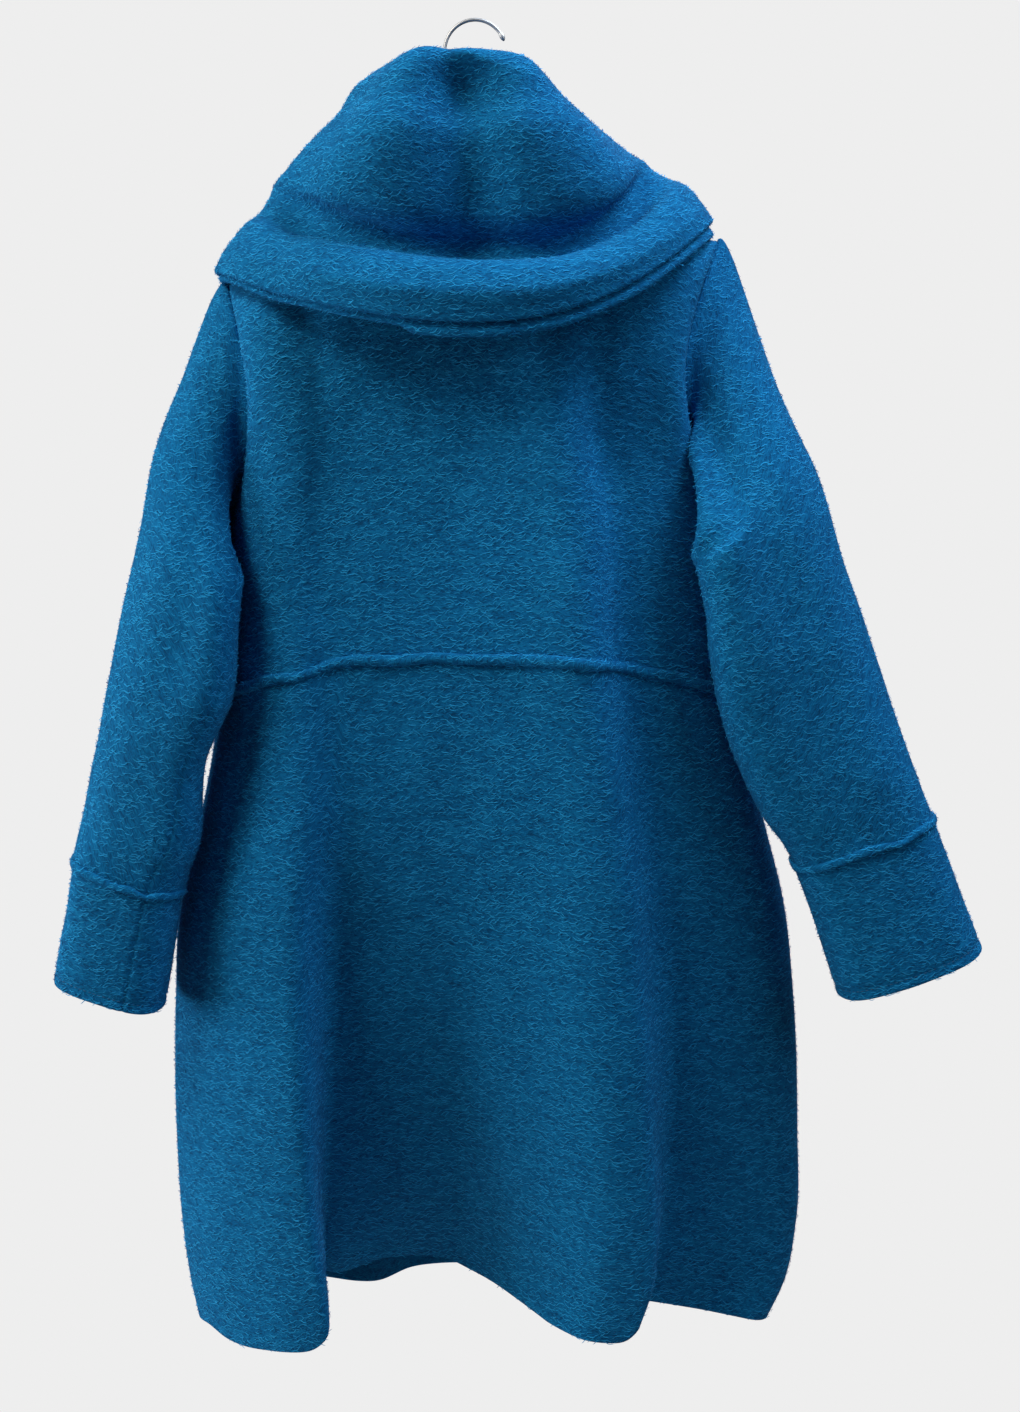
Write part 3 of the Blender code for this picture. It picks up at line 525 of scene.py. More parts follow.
def uneven_relief(points, seed, closed=False):
    """Gentle random relief of felted cloth, in a few sizes; none without a seed."""
    if seed is None:
        return np.zeros(points.shape[:2])
    across, along = cloth_lengths(points, closed)
    across, along = across.mean(axis=0), along.mean(axis=1)
    draw = np.random.default_rng(seed)
    total = 0.0
    for cell, height in UNEVEN:
        u = np.linspace(across[0], across[-1], max(int((across[-1] - across[0]) / cell), 3))
        v = np.linspace(along[0], along[-1], max(int((along[-1] - along[0]) / cell), 3))
        lattice = draw.normal(scale=height, size=(len(v), len(u)))
        if closed:
            lattice[:, -1] = lattice[:, 0]
        total = total + through(u, through(v, lattice, along).T, across).T
    return total[:, :-1] if closed else total


def cloth_mesh(name, points, closed=False, shift=0.0):
    """The face of a cloth, with its lengths in metres as its map."""
    rows, columns = points.shape[:2]
    corner_rows, corner_columns = grid_faces(rows, columns, closed)
    faces = corner_rows * columns + corner_columns % columns
    mesh = bpy.data.meshes.new(name)
    mesh.from_pydata((points.reshape(-1, 3) * METRES).tolist(), [], faces.tolist())
    across, along = cloth_lengths(points, closed)
    places = np.stack([across, along], axis=-1)[corner_rows, corner_columns] * METRES + shift
    mesh.uv_layers.new(name="cloth").data.foreach_set("uv", places.ravel())
    mesh.shade_smooth()
    return mesh


def cloth_piece(name, points, closed=False, shift=0.0):
    """A piece of cloth behind a grid of points on its face, with soft cut edges."""
    piece = new_piece(name, cloth_mesh(name, points, closed, shift))
    body = piece.modifiers.new("wall", "SOLIDIFY")
    body.thickness, body.offset = WALL * METRES, -1.0
    edge = piece.modifiers.new("soft edge", "BEVEL")
    edge.width, edge.segments = EDGE_ROUND * METRES, 3
    edge.limit_method, edge.angle_limit = "ANGLE", math.radians(EDGE_ANGLE)
    return plain_mesh(piece)


def waist_level(height):
    """Level this far above the waist seam, or below it."""
    below = height / (WAIST_Z - HEM_Z) * WAIST_LEVEL
    above = height / (ARMPIT_Z - WAIST_Z) * (ARMPIT_LEVEL - WAIST_LEVEL)
    return WAIST_LEVEL + np.where(height < 0, below, above)


def body_levels():
    """Levels of the rows below the waist and above it, closer towards the shoulder."""
    skirt = np.linspace(HEM_LEVEL, waist_level(-SEAM / 2), SKIRT_ROWS)
    chest = np.linspace(waist_level(SEAM / 2), ARMPIT_LEVEL, CHEST_ROWS)
    share = 1 - (1 - np.linspace(0.0, 1.0, ARMHOLE_ROWS)[1:]) ** SHOULDER_CROWDING
    return skirt, np.concatenate([chest, ARMPIT_LEVEL + share * (TOP_LEVEL - ARMPIT_LEVEL)])


def back_turns():
    return np.linspace(-90 + SIDE_TRIM, 90 - SIDE_TRIM, BACK_COLUMNS)


def front_turns(side):
    """Turns of a front's columns, in the order that turns its face outwards."""
    turns = np.linspace(90 + SIDE_TRIM, 180.0, FRONT_COLUMNS)
    return turns if side > 0 else 360.0 - turns[::-1]


def body_relief(turn, level, face):
    """How far the creases stand out of a panel; none at its seams."""
    across = np.sin(np.radians(turn))
    relief = crease_relief(BACK_CREASES if face < 0 else FRONT_CREASES, across, level)
    return relief * seam_fade(turn, level)


def seam_fade(turn, level):
    """1 within a panel, 0 at its side and shoulder seams."""
    from_side = 1 - np.abs(np.sin(np.radians(turn))) ** SEAM_HOLD
    return from_side * (1 - ramp(TOP_LEVEL - SHOULDER_FADE, TOP_LEVEL, level))


def open_front(points, turn, level, side):
    """Ease the edge of a front to its place beside the opening."""
    gap = FRONT_GAP_HEM + (FRONT_GAP_TOP - FRONT_GAP_HEM) * level / TOP_LEVEL
    middle = body_surface(np.full_like(turn, 180.0), level, 1)[..., 0]
    ease = ramp(1 - FRONT_EDGE_SHARE, 1.0, 1 - np.abs(180.0 - turn) / 90.0)
    points[..., 0] += ease * (side * gap / 2 - middle)
    return points


def hem_rise(corners, turn, level):
    """How far the hem and the cloth just above it turn up or drop."""
    total = 0.0
    for corner in corners:
        off = (np.sin(np.radians(turn)) - corner.at) / corner.width
        total = total + corner.rise * np.exp(-(off**2))
    return total * (1 - ramp(HEM_LEVEL, HEM_CORNER_LEVEL, level))


def back_face(levels, seed):
    turn, level = np.meshgrid(back_turns(), levels)
    points = body_surface(turn, level, -1)
    points[..., 2] += hem_rise(BACK_HEM, turn, level)
    relief = body_relief(turn, level, -1) + seam_fade(turn, level) * uneven_relief(points, seed)
    return points + relief[..., None] * outward(points)


def front_face(side, levels, seed):
    turn, level = np.meshgrid(front_turns(side), levels)
    points = body_surface(turn, level, 1)
    points[..., 2] += hem_rise(FRONT_HEM, turn, level)
    relief = body_relief(turn, level, 1) + seam_fade(turn, level) * uneven_relief(points, seed)
    return open_front(points + relief[..., None] * outward(points), turn, level, side)


# Boiled wool: knitted, then felted until the stitches close up. The face is a dense mat of
# short curled fibres, quite without gloss; its colour is painted lighter where they stand up,
# as painted light, and darker in the depth between, as painted shade. Its curls are drawn
# coarser than the real fibres, so that they show.
WOOL_SHADE_TO_LIGHT_BLUES = ("#003357", "#004F80", "#00659E", "#1286BE")  # from painted shade in the depth to painted light on the tips
SHEEN_BLUE = "#2E9CE0"
CURL_LENGTH, CURL_HEIGHT = 10.0, 3.2  # run of one curl along the cloth, pitch across it
SHORT_CURL_LENGTH, SHORT_CURL_HEIGHT = 0.55, 0.62  # short curls against the long ones
CURL_WARP, CURL_WANDER = 2.2, 8.0  # how far the curls wander, and over what distance
FIBRE_LENGTH, FIBRE_HEIGHT = 3.4, 1.3
STREAK_LENGTH, STREAK_HEIGHT = 34.0, 9.0  # patches where the felting is thinner or thicker
CURL_DEPTH = 0.9
CURL_SHARE, FIBRE_SHARE, STREAK_SHARE = 0.45, 0.7, 0.45  # of each in the wool's lightness
FELT_BASE = -0.25

boiled_wool, tree, shader = new_material(
    "boiled_wool",
    {
        "Roughness": 0.95,
        "Specular IOR Level": 0.15,
        "Sheen Weight": 0.12,
        "Sheen Roughness": 0.45,
        "Sheen Tint": colour(SHEEN_BLUE),
    },
)


def curl_lines(tree, place, length, height, seed, sharpness):
    """1 along the winding lines of curled fibres, 0 away from them."""
    sized = add_node(
        tree,
        "ShaderNodeMapping",
        {
            "Vector": place,
            "Scale": (1 / (length * METRES), 1 / (height * METRES), 1.0),
            "Location": (seed, seed * 1.7, seed * 0.6),
        },
    )
    field = add_node(
        tree,
        "ShaderNodeTexNoise",
        {"Vector": sized.outputs["Vector"], "Scale": 1.0, "Detail": 1.5, "Distortion": 0.9},
    )
    off_line = add_node(
        tree, "ShaderNodeMath", {0: field.outputs["Fac"], 1: 0.5}, operation="SUBTRACT"
    )
    distance = add_node(tree, "ShaderNodeMath", {0: off_line.outputs[0]}, operation="ABSOLUTE")
    return add_node(
        tree,
        "ShaderNodeMapRange",
        {"Value": distance.outputs[0], "From Max": sharpness, "To Min": 1.0, "To Max": 0.0},
        interpolation_type="SMOOTHSTEP",
    ).outputs["Result"]


place = add_node(tree, "ShaderNodeUVMap", uv_map="cloth").outputs["UV"]
wander = add_node(
    tree,
    "ShaderNodeTexNoise",
    {"Vector": place, "Scale": 1 / (CURL_WANDER * METRES), "Detail": 1.0},
)
centred = add_node(
    tree,
    "ShaderNodeVectorMath",
    {0: wander.outputs["Color"], 1: (0.5, 0.5, 0.5)},
    operation="SUBTRACT",
)
pushed = add_node(
    tree,
    "ShaderNodeVectorMath",
    {0: centred.outputs["Vector"], "Scale": 2 * CURL_WARP * METRES},
    operation="SCALE",
)
warped = add_node(
    tree, "ShaderNodeVectorMath", {0: place, 1: pushed.outputs["Vector"]}, operation="ADD"
).outputs["Vector"]
long_curls = curl_lines(tree, warped, CURL_LENGTH, CURL_HEIGHT, seed=3.1, sharpness=0.11)
short_curls = curl_lines(
    tree,
    warped,
    SHORT_CURL_LENGTH * CURL_LENGTH,
    SHORT_CURL_HEIGHT * CURL_HEIGHT,
    seed=8.3,
    sharpness=0.13,
)
curls = add_node(tree, "ShaderNodeMath", {0: long_curls, 1: short_curls}, operation="MAXIMUM")
laid = add_node(
    tree,
    "ShaderNodeMapping",
    {"Vector": warped, "Scale": (1 / (FIBRE_LENGTH * METRES), 1 / (FIBRE_HEIGHT * METRES), 1.0)},
)
fibres = add_node(
    tree,
    "ShaderNodeTexNoise",
    {"Vector": laid.outputs["Vector"], "Scale": 1.0, "Detail": 3.0, "Roughness": 0.6},
)
spread = add_node(
    tree,
    "ShaderNodeMapping",
    {"Vector": place, "Scale": (1 / (STREAK_LENGTH * METRES), 1 / (STREAK_HEIGHT * METRES), 1.0)},
)
streaks = add_node(
    tree, "ShaderNodeTexNoise", {"Vector": spread.outputs["Vector"], "Scale": 1.0, "Detail": 3.0}
)
# Lightness of the wool: painted light on the curls and painted shade between them, with the streaks' own
# tone
felt_tone_and_shade = add_node(
    tree,
    "ShaderNodeMath",
    {0: curls.outputs[0], 1: CURL_SHARE, 2: FELT_BASE},
    operation="MULTIPLY_ADD",
)
felt_tone_and_shade = add_node(
    tree,
    "ShaderNodeMath",
    {0: fibres.outputs["Fac"], 1: FIBRE_SHARE, 2: felt_tone_and_shade.outputs[0]},
    operation="MULTIPLY_ADD",
)
felt_tone_and_shade = add_node(
    tree,
    "ShaderNodeMath",
    {0: streaks.outputs["Fac"], 1: STREAK_SHARE, 2: felt_tone_and_shade.outputs[0]},
    operation="MULTIPLY_ADD",
)
nap_height = add_node(
    tree,
    "ShaderNodeMath",
    {0: fibres.outputs["Fac"], 1: 0.5, 2: curls.outputs[0]},
    operation="MULTIPLY_ADD",
)
nap_bump = add_node(
    tree,
    "ShaderNodeBump",
    {"Height": nap_height.outputs[0], "Strength": 0.4, "Distance": CURL_DEPTH * METRES},
)
blues = add_node(tree, "ShaderNodeValToRGB", {"Fac": felt_tone_and_shade.outputs[0]})
stops = blues.color_ramp.elements
for i, code in enumerate(WOOL_SHADE_TO_LIGHT_BLUES):
    stop = stops[i] if i < 2 else stops.new(1.0)
    stop.position, stop.color = i / (len(WOOL_SHADE_TO_LIGHT_BLUES) - 1), colour(code)
tree.links.new(blues.outputs["Color"], shader.inputs["Base Color"])
tree.links.new(nap_bump.outputs["Normal"], shader.inputs["Normal"])

# Nap: locks of the same wool that felting has teased out of its face. They lie mostly
# level, and are painted paler than the mat below, as painted light on the raised locks, so
# that they draw fine light squiggles on it. Each is drawn coarser than real, so that it shows
NAP_LIT_BLUE = "#129ADA"
NAP_DENSITY = 58000.0  # locks on a square metre
NAP_LENGTH, NAP_WIDTH, NAP_WAVE = 8.0, 0.55, 0.65  # of one lock, and how far it winds
NAP_FOOT, NAP_RISE = -0.1, 1.1  # height of a lock's two ends over the cloth
NAP_SWING, NAP_TILT = 0.55, 0.12  # how far a lock turns on the cloth and out of it, in radians
NAP_SIZES = (0.6, 1.25)  # smallest and largest lock against the one drawn
NAP_STATIONS = 6
MAP_STEP = 0.7  # metres from one panel's place on the wool's pattern to the next one's

# The nap's material: the wool's blue painted paler, as painted light
wool_nap = new_material("wool_nap", {"Base Color": colour(NAP_LIT_BLUE), "Roughness": 1.0})[0]


def curled_fibre():
    """One lock of fibres: a narrow strip with pointed ends, wound to a wave."""
    share = np.linspace(0.0, 1.0, NAP_STATIONS)
    x, y = (share - 0.5) * NAP_LENGTH, NAP_WAVE * np.cos(2 * np.pi * share)
    z = NAP_FOOT + (NAP_RISE - NAP_FOOT) * share**2
    half = NAP_WIDTH / 2
    sides = [np.stack([x, y + off, z], axis=-1)[1:-1] for off in (-half, half)]
    middle = np.stack(sides, axis=1).reshape(-1, 3)
    points = np.concatenate([[(x[0], y[0], z[0])], middle, [(x[-1], y[-1], z[-1])]])
    last = len(points) - 1
    faces = [(0, 1, 2), (last - 2, last, last - 1)]
    faces += [(i, i + 2, i + 3, i + 1) for i in range(1, last - 2, 2)]
    mesh = bpy.data.meshes.new("curled_fibre")
    mesh.from_pydata((points * METRES).tolist(), [], faces)
    return new_piece("curled_fibre", mesh)


def node_group(name, inputs):
    """An empty tree of geometry nodes with named inputs, and the node that gives them."""
    tree = bpy.data.node_groups.new(name, "GeometryNodeTree")
    for socket, kind in inputs.items():
        tree.interface.new_socket(name=socket, in_out="INPUT", socket_type="NodeSocket" + kind)
    tree.interface.new_socket(name="Made", in_out="OUTPUT", socket_type="NodeSocketGeometry")
    return tree, add_node(tree, "NodeGroupInput")


def set_out(base, tree, inputs):
    """Run a tree of geometry nodes on a piece, and keep what it makes as a plain mesh."""
    work = base.modifiers.new(tree.name, "NODES")
    work.node_group = tree
    for socket in tree.interface.items_tree:
        if socket.name in inputs:
            work[socket.identifier] = inputs[socket.name]
    return plain_mesh(base)


nap_nodes, given = node_group(
    "nap",
    {"Cloth": "Geometry", "Fibre": "Object", "Density": "Float", "Seed": "Int", "Finish": "Material"},
)
roots = add_node(
    nap_nodes,
    "GeometryNodeDistributePointsOnFaces",
    {"Mesh": given.outputs["Cloth"], "Density": given.outputs["Density"], "Seed": given.outputs["Seed"]},
)
level_way = add_node(
    nap_nodes,
    "ShaderNodeVectorMath",
    {0: roots.outputs["Normal"], 1: (0.0, 0.0, 1.0)},
    operation="CROSS_PRODUCT",
)
upright = add_node(
    nap_nodes, "FunctionNodeAlignRotationToVector", {"Vector": roots.outputs["Normal"]}, axis="Z"
)
laid = add_node(
    nap_nodes,
    "FunctionNodeAlignRotationToVector",
    {"Rotation": upright.outputs["Rotation"], "Vector": level_way.outputs["Vector"]},
    axis="X",
    pivot_axis="Z",
)
swing = add_node(
    nap_nodes,
    "FunctionNodeRandomValue",
    {0: (0.0, -NAP_TILT, -NAP_SWING), 1: (0.0, NAP_TILT, NAP_SWING), "Seed": 5},
    data_type="FLOAT_VECTOR",
)
turned = add_node(
    nap_nodes,
    "FunctionNodeRotateRotation",
    {"Rotation": laid.outputs["Rotation"], "Rotate By": swing.outputs[0]},
    rotation_space="LOCAL",
)
half_turns = add_node(
    nap_nodes, "FunctionNodeRandomValue", {4: 0, 5: 1, "Seed": 7}, data_type="INT"
)
about = add_node(
    nap_nodes,
    "ShaderNodeVectorMath",
    {0: (0.0, 0.0, math.pi), "Scale": half_turns.outputs[2]},
    operation="SCALE",
)
turned = add_node(
    nap_nodes,
    "FunctionNodeRotateRotation",
    {"Rotation": turned.outputs["Rotation"], "Rotate By": about.outputs["Vector"]},
    rotation_space="LOCAL",
)
sized = add_node(nap_nodes, "FunctionNodeRandomValue", {2: NAP_SIZES[0], 3: NAP_SIZES[1], "Seed": 9})
shape = add_node(nap_nodes, "GeometryNodeObjectInfo", {"Object": given.outputs["Fibre"]})
fibres_set = add_node(
    nap_nodes,
    "GeometryNodeInstanceOnPoints",
    {
        "Points": roots.outputs["Points"],
        "Instance": shape.outputs["Geometry"],
        "Rotation": turned.outputs["Rotation"],
        "Scale": sized.outputs[1],
    },
)
made_real = add_node(
    nap_nodes, "GeometryNodeRealizeInstances", {"Geometry": fibres_set.outputs["Instances"]}
)
finished = add_node(
    nap_nodes,
    "GeometryNodeSetMaterial",
    {"Geometry": made_real.outputs["Geometry"], "Material": given.outputs["Finish"]},
)
add_node(nap_nodes, "NodeGroupOutput", {"Made": finished.outputs["Geometry"]})
fibre = curled_fibre()


def nap_piece(name, face, seed):
    """The nap that stands on a face of the cloth."""
    inputs = {"Fibre": fibre, "Density": NAP_DENSITY, "Seed": seed, "Finish": wool_nap}
    nap = set_out(new_piece(name, face), nap_nodes, inputs)
    dress(nap, wool_nap, "boiled_wool")
    return nap


def wool_panel(name, points, seed, node, closed=False):
    """A piece of cloth with its nap, in place of its CAD node."""
    cloth = cloth_piece(name, points, closed, shift=MAP_STEP * seed)
    dress(cloth, boiled_wool, "boiled_wool", node)
    return cloth, nap_piece(name + "_nap", cloth_mesh(name + "_nap", points, closed), seed)


skirt_levels, chest_levels = body_levels()
back_upper = wool_panel("back_upper_wool", back_face(chest_levels, 11), 1, "back_upper")
back_lower = wool_panel("back_lower_wool", back_face(skirt_levels, 12), 2, "back_lower")
for side, word in ((-1, "left"), (1, "right")):
    face = front_face(side, chest_levels, 15 + side)
    upper = wool_panel("front_upper_wool_" + word, face, 4 + side, "front_upper_" + word)
    face = front_face(side, skirt_levels, 18 + side)
    lower = wool_panel("front_lower_wool_" + word, face, 7 + side, "front_lower_" + word)


# Waist seam.
# The upper and lower panels are lapped, felled and stitched into a raised welt of the same
# wool, half round in section. It sinks towards the side seams, and runs on round the fronts.
WELT_HEIGHT, WELT_THICK, WELT_LIFT = 9.0, 4.0, 0.2
WELT_SECTION, WELT_ROUND = 14, 0.8  # points of its section, power that squares it a little
WELT_WANDER, WELT_SWELL = 0.9, 0.08  # how far the hand-fed seam strays, how its width varies
WELT_STRAY_STEP = 9  # columns of cloth from one stray to the next
WELT_REACH, WELT_STRIP_ROWS = 1.5, 31  # strip of cloth under a welt, in heights of the welt
WELD = 1e-6  # metres between points that are one


def welt_section():
    """Height and lift of the points round a welt, from its foot over its crown."""
    angle = np.linspace(0.0, np.pi, WELT_SECTION)
    return -WELT_HEIGHT / 2 * np.cos(angle), WELT_LIFT + WELT_THICK * np.sin(angle) ** WELT_ROUND


def welt_variation(count, seed, closed=False):
    """Strays and swellings along a welt."""
    draw = np.random.default_rng(seed)
    knots = np.linspace(0.0, 1.0, max(count // WELT_STRAY_STEP, 4))
    values = draw.normal(size=(len(knots), 2)) * (WELT_WANDER, WELT_SWELL)
    if closed:
        values[-1] = values[0]
    along = np.linspace(0.0, 1.0, count, endpoint=not closed)
    stray, swell = through(knots, values, along).T
    return stray, 1 + swell


def welt_loops(strip, heights, seed, closed=False, size=1.0):
    """Sections of a welt on a strip of a face, whose rows stand at these heights."""
    normal = outward(strip, closed)
    count = strip.shape[1]
    stray, swell = welt_variation(count, seed, closed)
    swell = swell * size
    height, lift = welt_section()
    loops = np.empty((count, WELT_SECTION, 3))
    for c in range(count):
        at = stray[c] + swell[c] * height
        for i in range(3):
            foot = np.interp(at, heights, strip[:, c, i])
            loops[c, :, i] = foot + swell[c] * lift * np.interp(at, heights, normal[:, c, i])
    return loops


def welt_piece(name, loops, closed=False):
    """A welt through loops round its section; the map runs along it as on the cloth."""
    if closed:
        loops = np.concatenate([loops, loops[:1]])
    section = np.concatenate([loops, loops[:, :1]], axis=1)
    mesh = cloth_mesh(name, section)
    shape = bmesh.new()
    shape.from_mesh(mesh)
    bmesh.ops.remove_doubles(shape, verts=shape.verts, dist=WELD)
    ends = [edge for edge in shape.edges if edge.is_boundary]
    if ends:
        bmesh.ops.holes_fill(shape, edges=ends, sides=0)
    bmesh.ops.recalc_face_normals(shape, faces=shape.faces)
    shape.to_mesh(mesh)
    shape.free()
    return new_piece(name, mesh)


def napped_welt(name, loops, seed, node, closed=False):
    """A welt with its nap, in place of its CAD node."""
    welt = welt_piece(name, loops, closed)
    dress(welt, boiled_wool, "boiled_wool", node)
    return welt, nap_piece(name + "_nap", welt.data.copy(), seed)


welt_heights = np.linspace(-WELT_REACH, WELT_REACH, WELT_STRIP_ROWS) * WELT_HEIGHT
welt_levels = waist_level(welt_heights)
loops = welt_loops(back_face(welt_levels, None), welt_heights, 21)
back_welt = napped_welt("waist_welt_wool", loops, 9, "waist_welt_back")
for side, word in ((-1, "left"), (1, "right")):
    loops = welt_loops(front_face(side, welt_levels, None), welt_heights, 24 + side)
    welt = napped_welt("waist_welt_wool_" + word, loops, 11 + side, "waist_welt_" + word)


# Sleeves and cuffs.
# Each sleeve is one piece of the same wool, closed by a seam along the underarm and set
# into the armhole. A turned cuff is sewn to its end with a raised seam like the waist's,
# and the cuff's own edge is turned in and stitched.
SleeveRing = namedtuple(
    "SleeveRing", "outer_x outer_z outer_y inner_x inner_z inner_y half_depth"
)
LEFT_SLEEVE = (
    SleeveRing(-254, -326, -20, -200, -448, -76, 46),
    SleeveRing(-272, -423, -55, -194, -489, -101, 44),
    SleeveRing(-293, -518, -70, -197, -550, -103, 44),
    SleeveRing(-309, -595, -75, -222, -608, -95, 44),
    SleeveRing(-322, -649, -78, -229, -673, -90, 45),
    SleeveRing(-336, -693, -78, -246, -720, -86, 46),
    SleeveRing(-357, -793, -76, -265, -821, -82, 47),
)
RIGHT_SLEEVE = (
    SleeveRing(250, -305, -25, 202, -430, -80, 48),
    SleeveRing(284, -384, -55, 188, -452, -100, 44),
    SleeveRing(312, -464, -66, 192, -517, -100, 42),
    SleeveRing(340, -543, -72, 208, -586, -96, 42),
    SleeveRing(364, -607, -76, 236, -650, -90, 43),
    SleeveRing(383, -657, -78, 268, -699, -84, 44),
    SleeveRing(427, -767, -78, 308, -812, -78, 47),
)
LEFT_SLEEVE_CUT, RIGHT_SLEEVE_CUT = (0.50, 0.51, 0.126), (0.52, 0.525, 0.149)
LEFT_CUFF_CUT, RIGHT_CUFF_CUT = (0.31, 0.103, 0.0306), (0.36, 0.12, 0.041)
CUFF_RING = 6  # ring at which the cuff is sewn on
CUFF_WELT = 0.7  # size of the seam's welt against the waist's
ARMHOLE_GAP = 0.6
SLEEVE_HEAD_TOP, SLEEVE_HEAD_FOOT = 1.5, 13.0
SLEEVE_HEAD_STEP = 0.25
SLEEVE_HEAD_ROWS, SLEEVE_HEAD_CROWDING = 26, 1.2
SLEEVE_HEAD_EASE = 0.5  # stretch of arm below the armhole over which creases come in
SLEEVE_FULLNESS = 0.35  # how far the back of a sleeve is squared
SLEEVE_COLUMNS, SLEEVE_ROWS, CUFF_ROWS = 200, 110, 44

# Creases of the sleeves lie along the arm, at these places round it: 0 is the outside of
# the arm, 0.25 its back and 0.5 its inside
LEFT_CREASES = (
    Crease(5.4, 8.2, 0.11, 0.10, 0.035, 1.6),
    Crease(0.6, 3.4, 0.30, 0.26, 0.05, -2.5),
    Crease(1.2, 5.0, 0.18, 0.20, 0.06, 2.0),
    Crease(3.0, 6.5, 0.74, 0.70, 0.06, -3.0),
    Crease(0.8, 4.0, 0.85, 0.80, 0.06, 2.5),
    Crease(-1.4, 6.6, 0.00, 0.00, 0.12, 7.0),  # outside of the arm, filled out
    Crease(-1.4, 6.6, 1.00, 1.00, 0.12, 7.0),
)
RIGHT_CREASES = (
    Crease(0.4, 2.4, 0.40, 0.36, 0.04, 3.0),
    Crease(0.8, 3.6, 0.27, 0.24, 0.05, -2.5),
    Crease(2.2, 6.0, 0.16, 0.20, 0.06, 2.0),
    Crease(4.0, 8.0, 0.36, 0.33, 0.05, -1.5),
    Crease(2.6, 6.4, 0.72, 0.76, 0.06, -3.0),
    Crease(0.8, 4.2, 0.88, 0.84, 0.06, 2.5),
    Crease(-1.2, 2.8, 0.00, 0.00, 0.12, 5.0),  # outside of the arm, filled out
    Crease(-1.2, 2.8, 1.00, 1.00, 0.12, 5.0),
)
# How each sleeve folds over its armhole: sideways and backwards, at this place round the
# arm, and the stretches of arm over which it comes, drifts round and fades
LEFT_ARMPIT, RIGHT_ARMPIT = (10.0, -16.0), (-29.0, -34.0)
ARMPIT_PLACE, ARMPIT_DRIFT, ARMPIT_WIDTH = 0.43, 0.05, 0.08
ARMPIT_COMES, ARMPIT_DRIFTS = (0.02, 0.35), (0.4, 1.3)
ARMPIT_SIDE_FADE, ARMPIT_BACK_FADE = (0.5, 2.8), (0.45, 1.5)
LEFT_SEAM = (0.50, 0.352, 0.319)  # place of the underarm seam at the armhole, elbow and edge
RIGHT_SEAM = (0.50, 0.53, 0.55)
SEAM_STATIONS = (0.0, 5.0, 7.0)
SEAM_HALF_WIDTH, SEAM_DEPTH = 1.8, 1.3
CUFF_STITCH_ROW = 8.0  # distance of the stitching from the cuff's edge
STITCH_HALF_WIDTH, STITCH_DEPTH = 2.2, 1.0  # groove that the stitches draw into the wool
STITCH_LENGTH, STITCH_PITCH, THREAD = 3.0, 4.2, 0.35  # one stitch, their spacing, thread's radius
STITCH_GIRTHS, STITCH_SIDES = (0.4, 1.0, 1.0, 0.4), 6  # the thread's swelling along a stitch
THREAD_BLUE = "#0A5583"


def armhole(side, share, face):
    return body_surface(side * 90.0, ARMPIT_LEVEL + share * (TOP_LEVEL - ARMPIT_LEVEL), face)


def sleeve_surface(side, rings, around, along):
    """Outside of a sleeve as a grid: around 0 is the outside of the arm, 0.25 its back."""
    back = armhole(side, np.clip(1 - 2 * around, 0.0, 1.0), -1)
    front = armhole(side, np.clip(2 * around - 1, 0.0, 1.0), 1)
    first = np.where((around <= 0.5)[:, None], back, front)
    first = first + np.array([side * ARMHOLE_GAP, 0.0, 0.0])
    cosine, sine = np.cos(2 * np.pi * around), np.sin(2 * np.pi * around)
    head = SLEEVE_HEAD_TOP + (SLEEVE_HEAD_FOOT - SLEEVE_HEAD_TOP) * np.sin(np.pi * around) ** 2
    stack = [first, first + head[:, None] * np.array([side, 0.0, 0.0])]
    squared = 1 + SLEEVE_FULLNESS * cosine**2 * (sine > 0)
    for ring in rings:
        outer = np.array([ring.outer_x, ring.outer_y, ring.outer_z], float)
        inner = np.array([ring.inner_x, ring.inner_y, ring.inner_z], float)
        points = (outer + inner) / 2 + np.outer(cosine, (outer - inner) / 2)
        points[:, 1] -= ring.half_depth * sine * squared
        stack.append(points)
    knots = np.insert(np.arange(len(rings) + 1.0), 1, SLEEVE_HEAD_STEP)
    return through(knots, np.stack(stack), along)


def sleeve_places(side):
    """Places round a sleeve, in the order that turns its face outwards."""
    around = np.arange(SLEEVE_COLUMNS) / SLEEVE_COLUMNS
    return around if side > 0 else around[::-1]


def sleeve_face(side, rings, creases, seam, along, seed):
    around = sleeve_places(side)
    points = sleeve_surface(side, rings, around, along)
    place, run = np.meshgrid(around, along)
    fold_at = ARMPIT_PLACE + ARMPIT_DRIFT * ramp(*ARMPIT_DRIFTS, run)
    fold = np.exp(-(((place - fold_at) / ARMPIT_WIDTH) ** 2))
    fold = fold * ramp(*ARMPIT_COMES, run)
    sideways, backwards = LEFT_ARMPIT if side < 0 else RIGHT_ARMPIT
    points[..., 0] += sideways * fold * (1 - ramp(*ARMPIT_SIDE_FADE, run))
    points[..., 1] += backwards * fold * (1 - ramp(*ARMPIT_BACK_FADE, run))
    relief = crease_relief(creases, place, run) + uneven_relief(points, seed, True)
    if seam:
        girth = cloth_lengths(points, True)[0]
        girth = (girth[:, -1] - girth[:, 0])[:, None]
        seam_at = through(SEAM_STATIONS, seam, run)
        off_seam = np.abs(np.mod(place - seam_at + 0.5, 1.0) - 0.5) * girth
        relief = relief - SEAM_DEPTH * np.exp(-((off_seam / SEAM_HALF_WIDTH) ** 2))
    relief = relief * ramp(0.0, SLEEVE_HEAD_EASE, run)
    return points + relief[..., None] * outward(points, True)


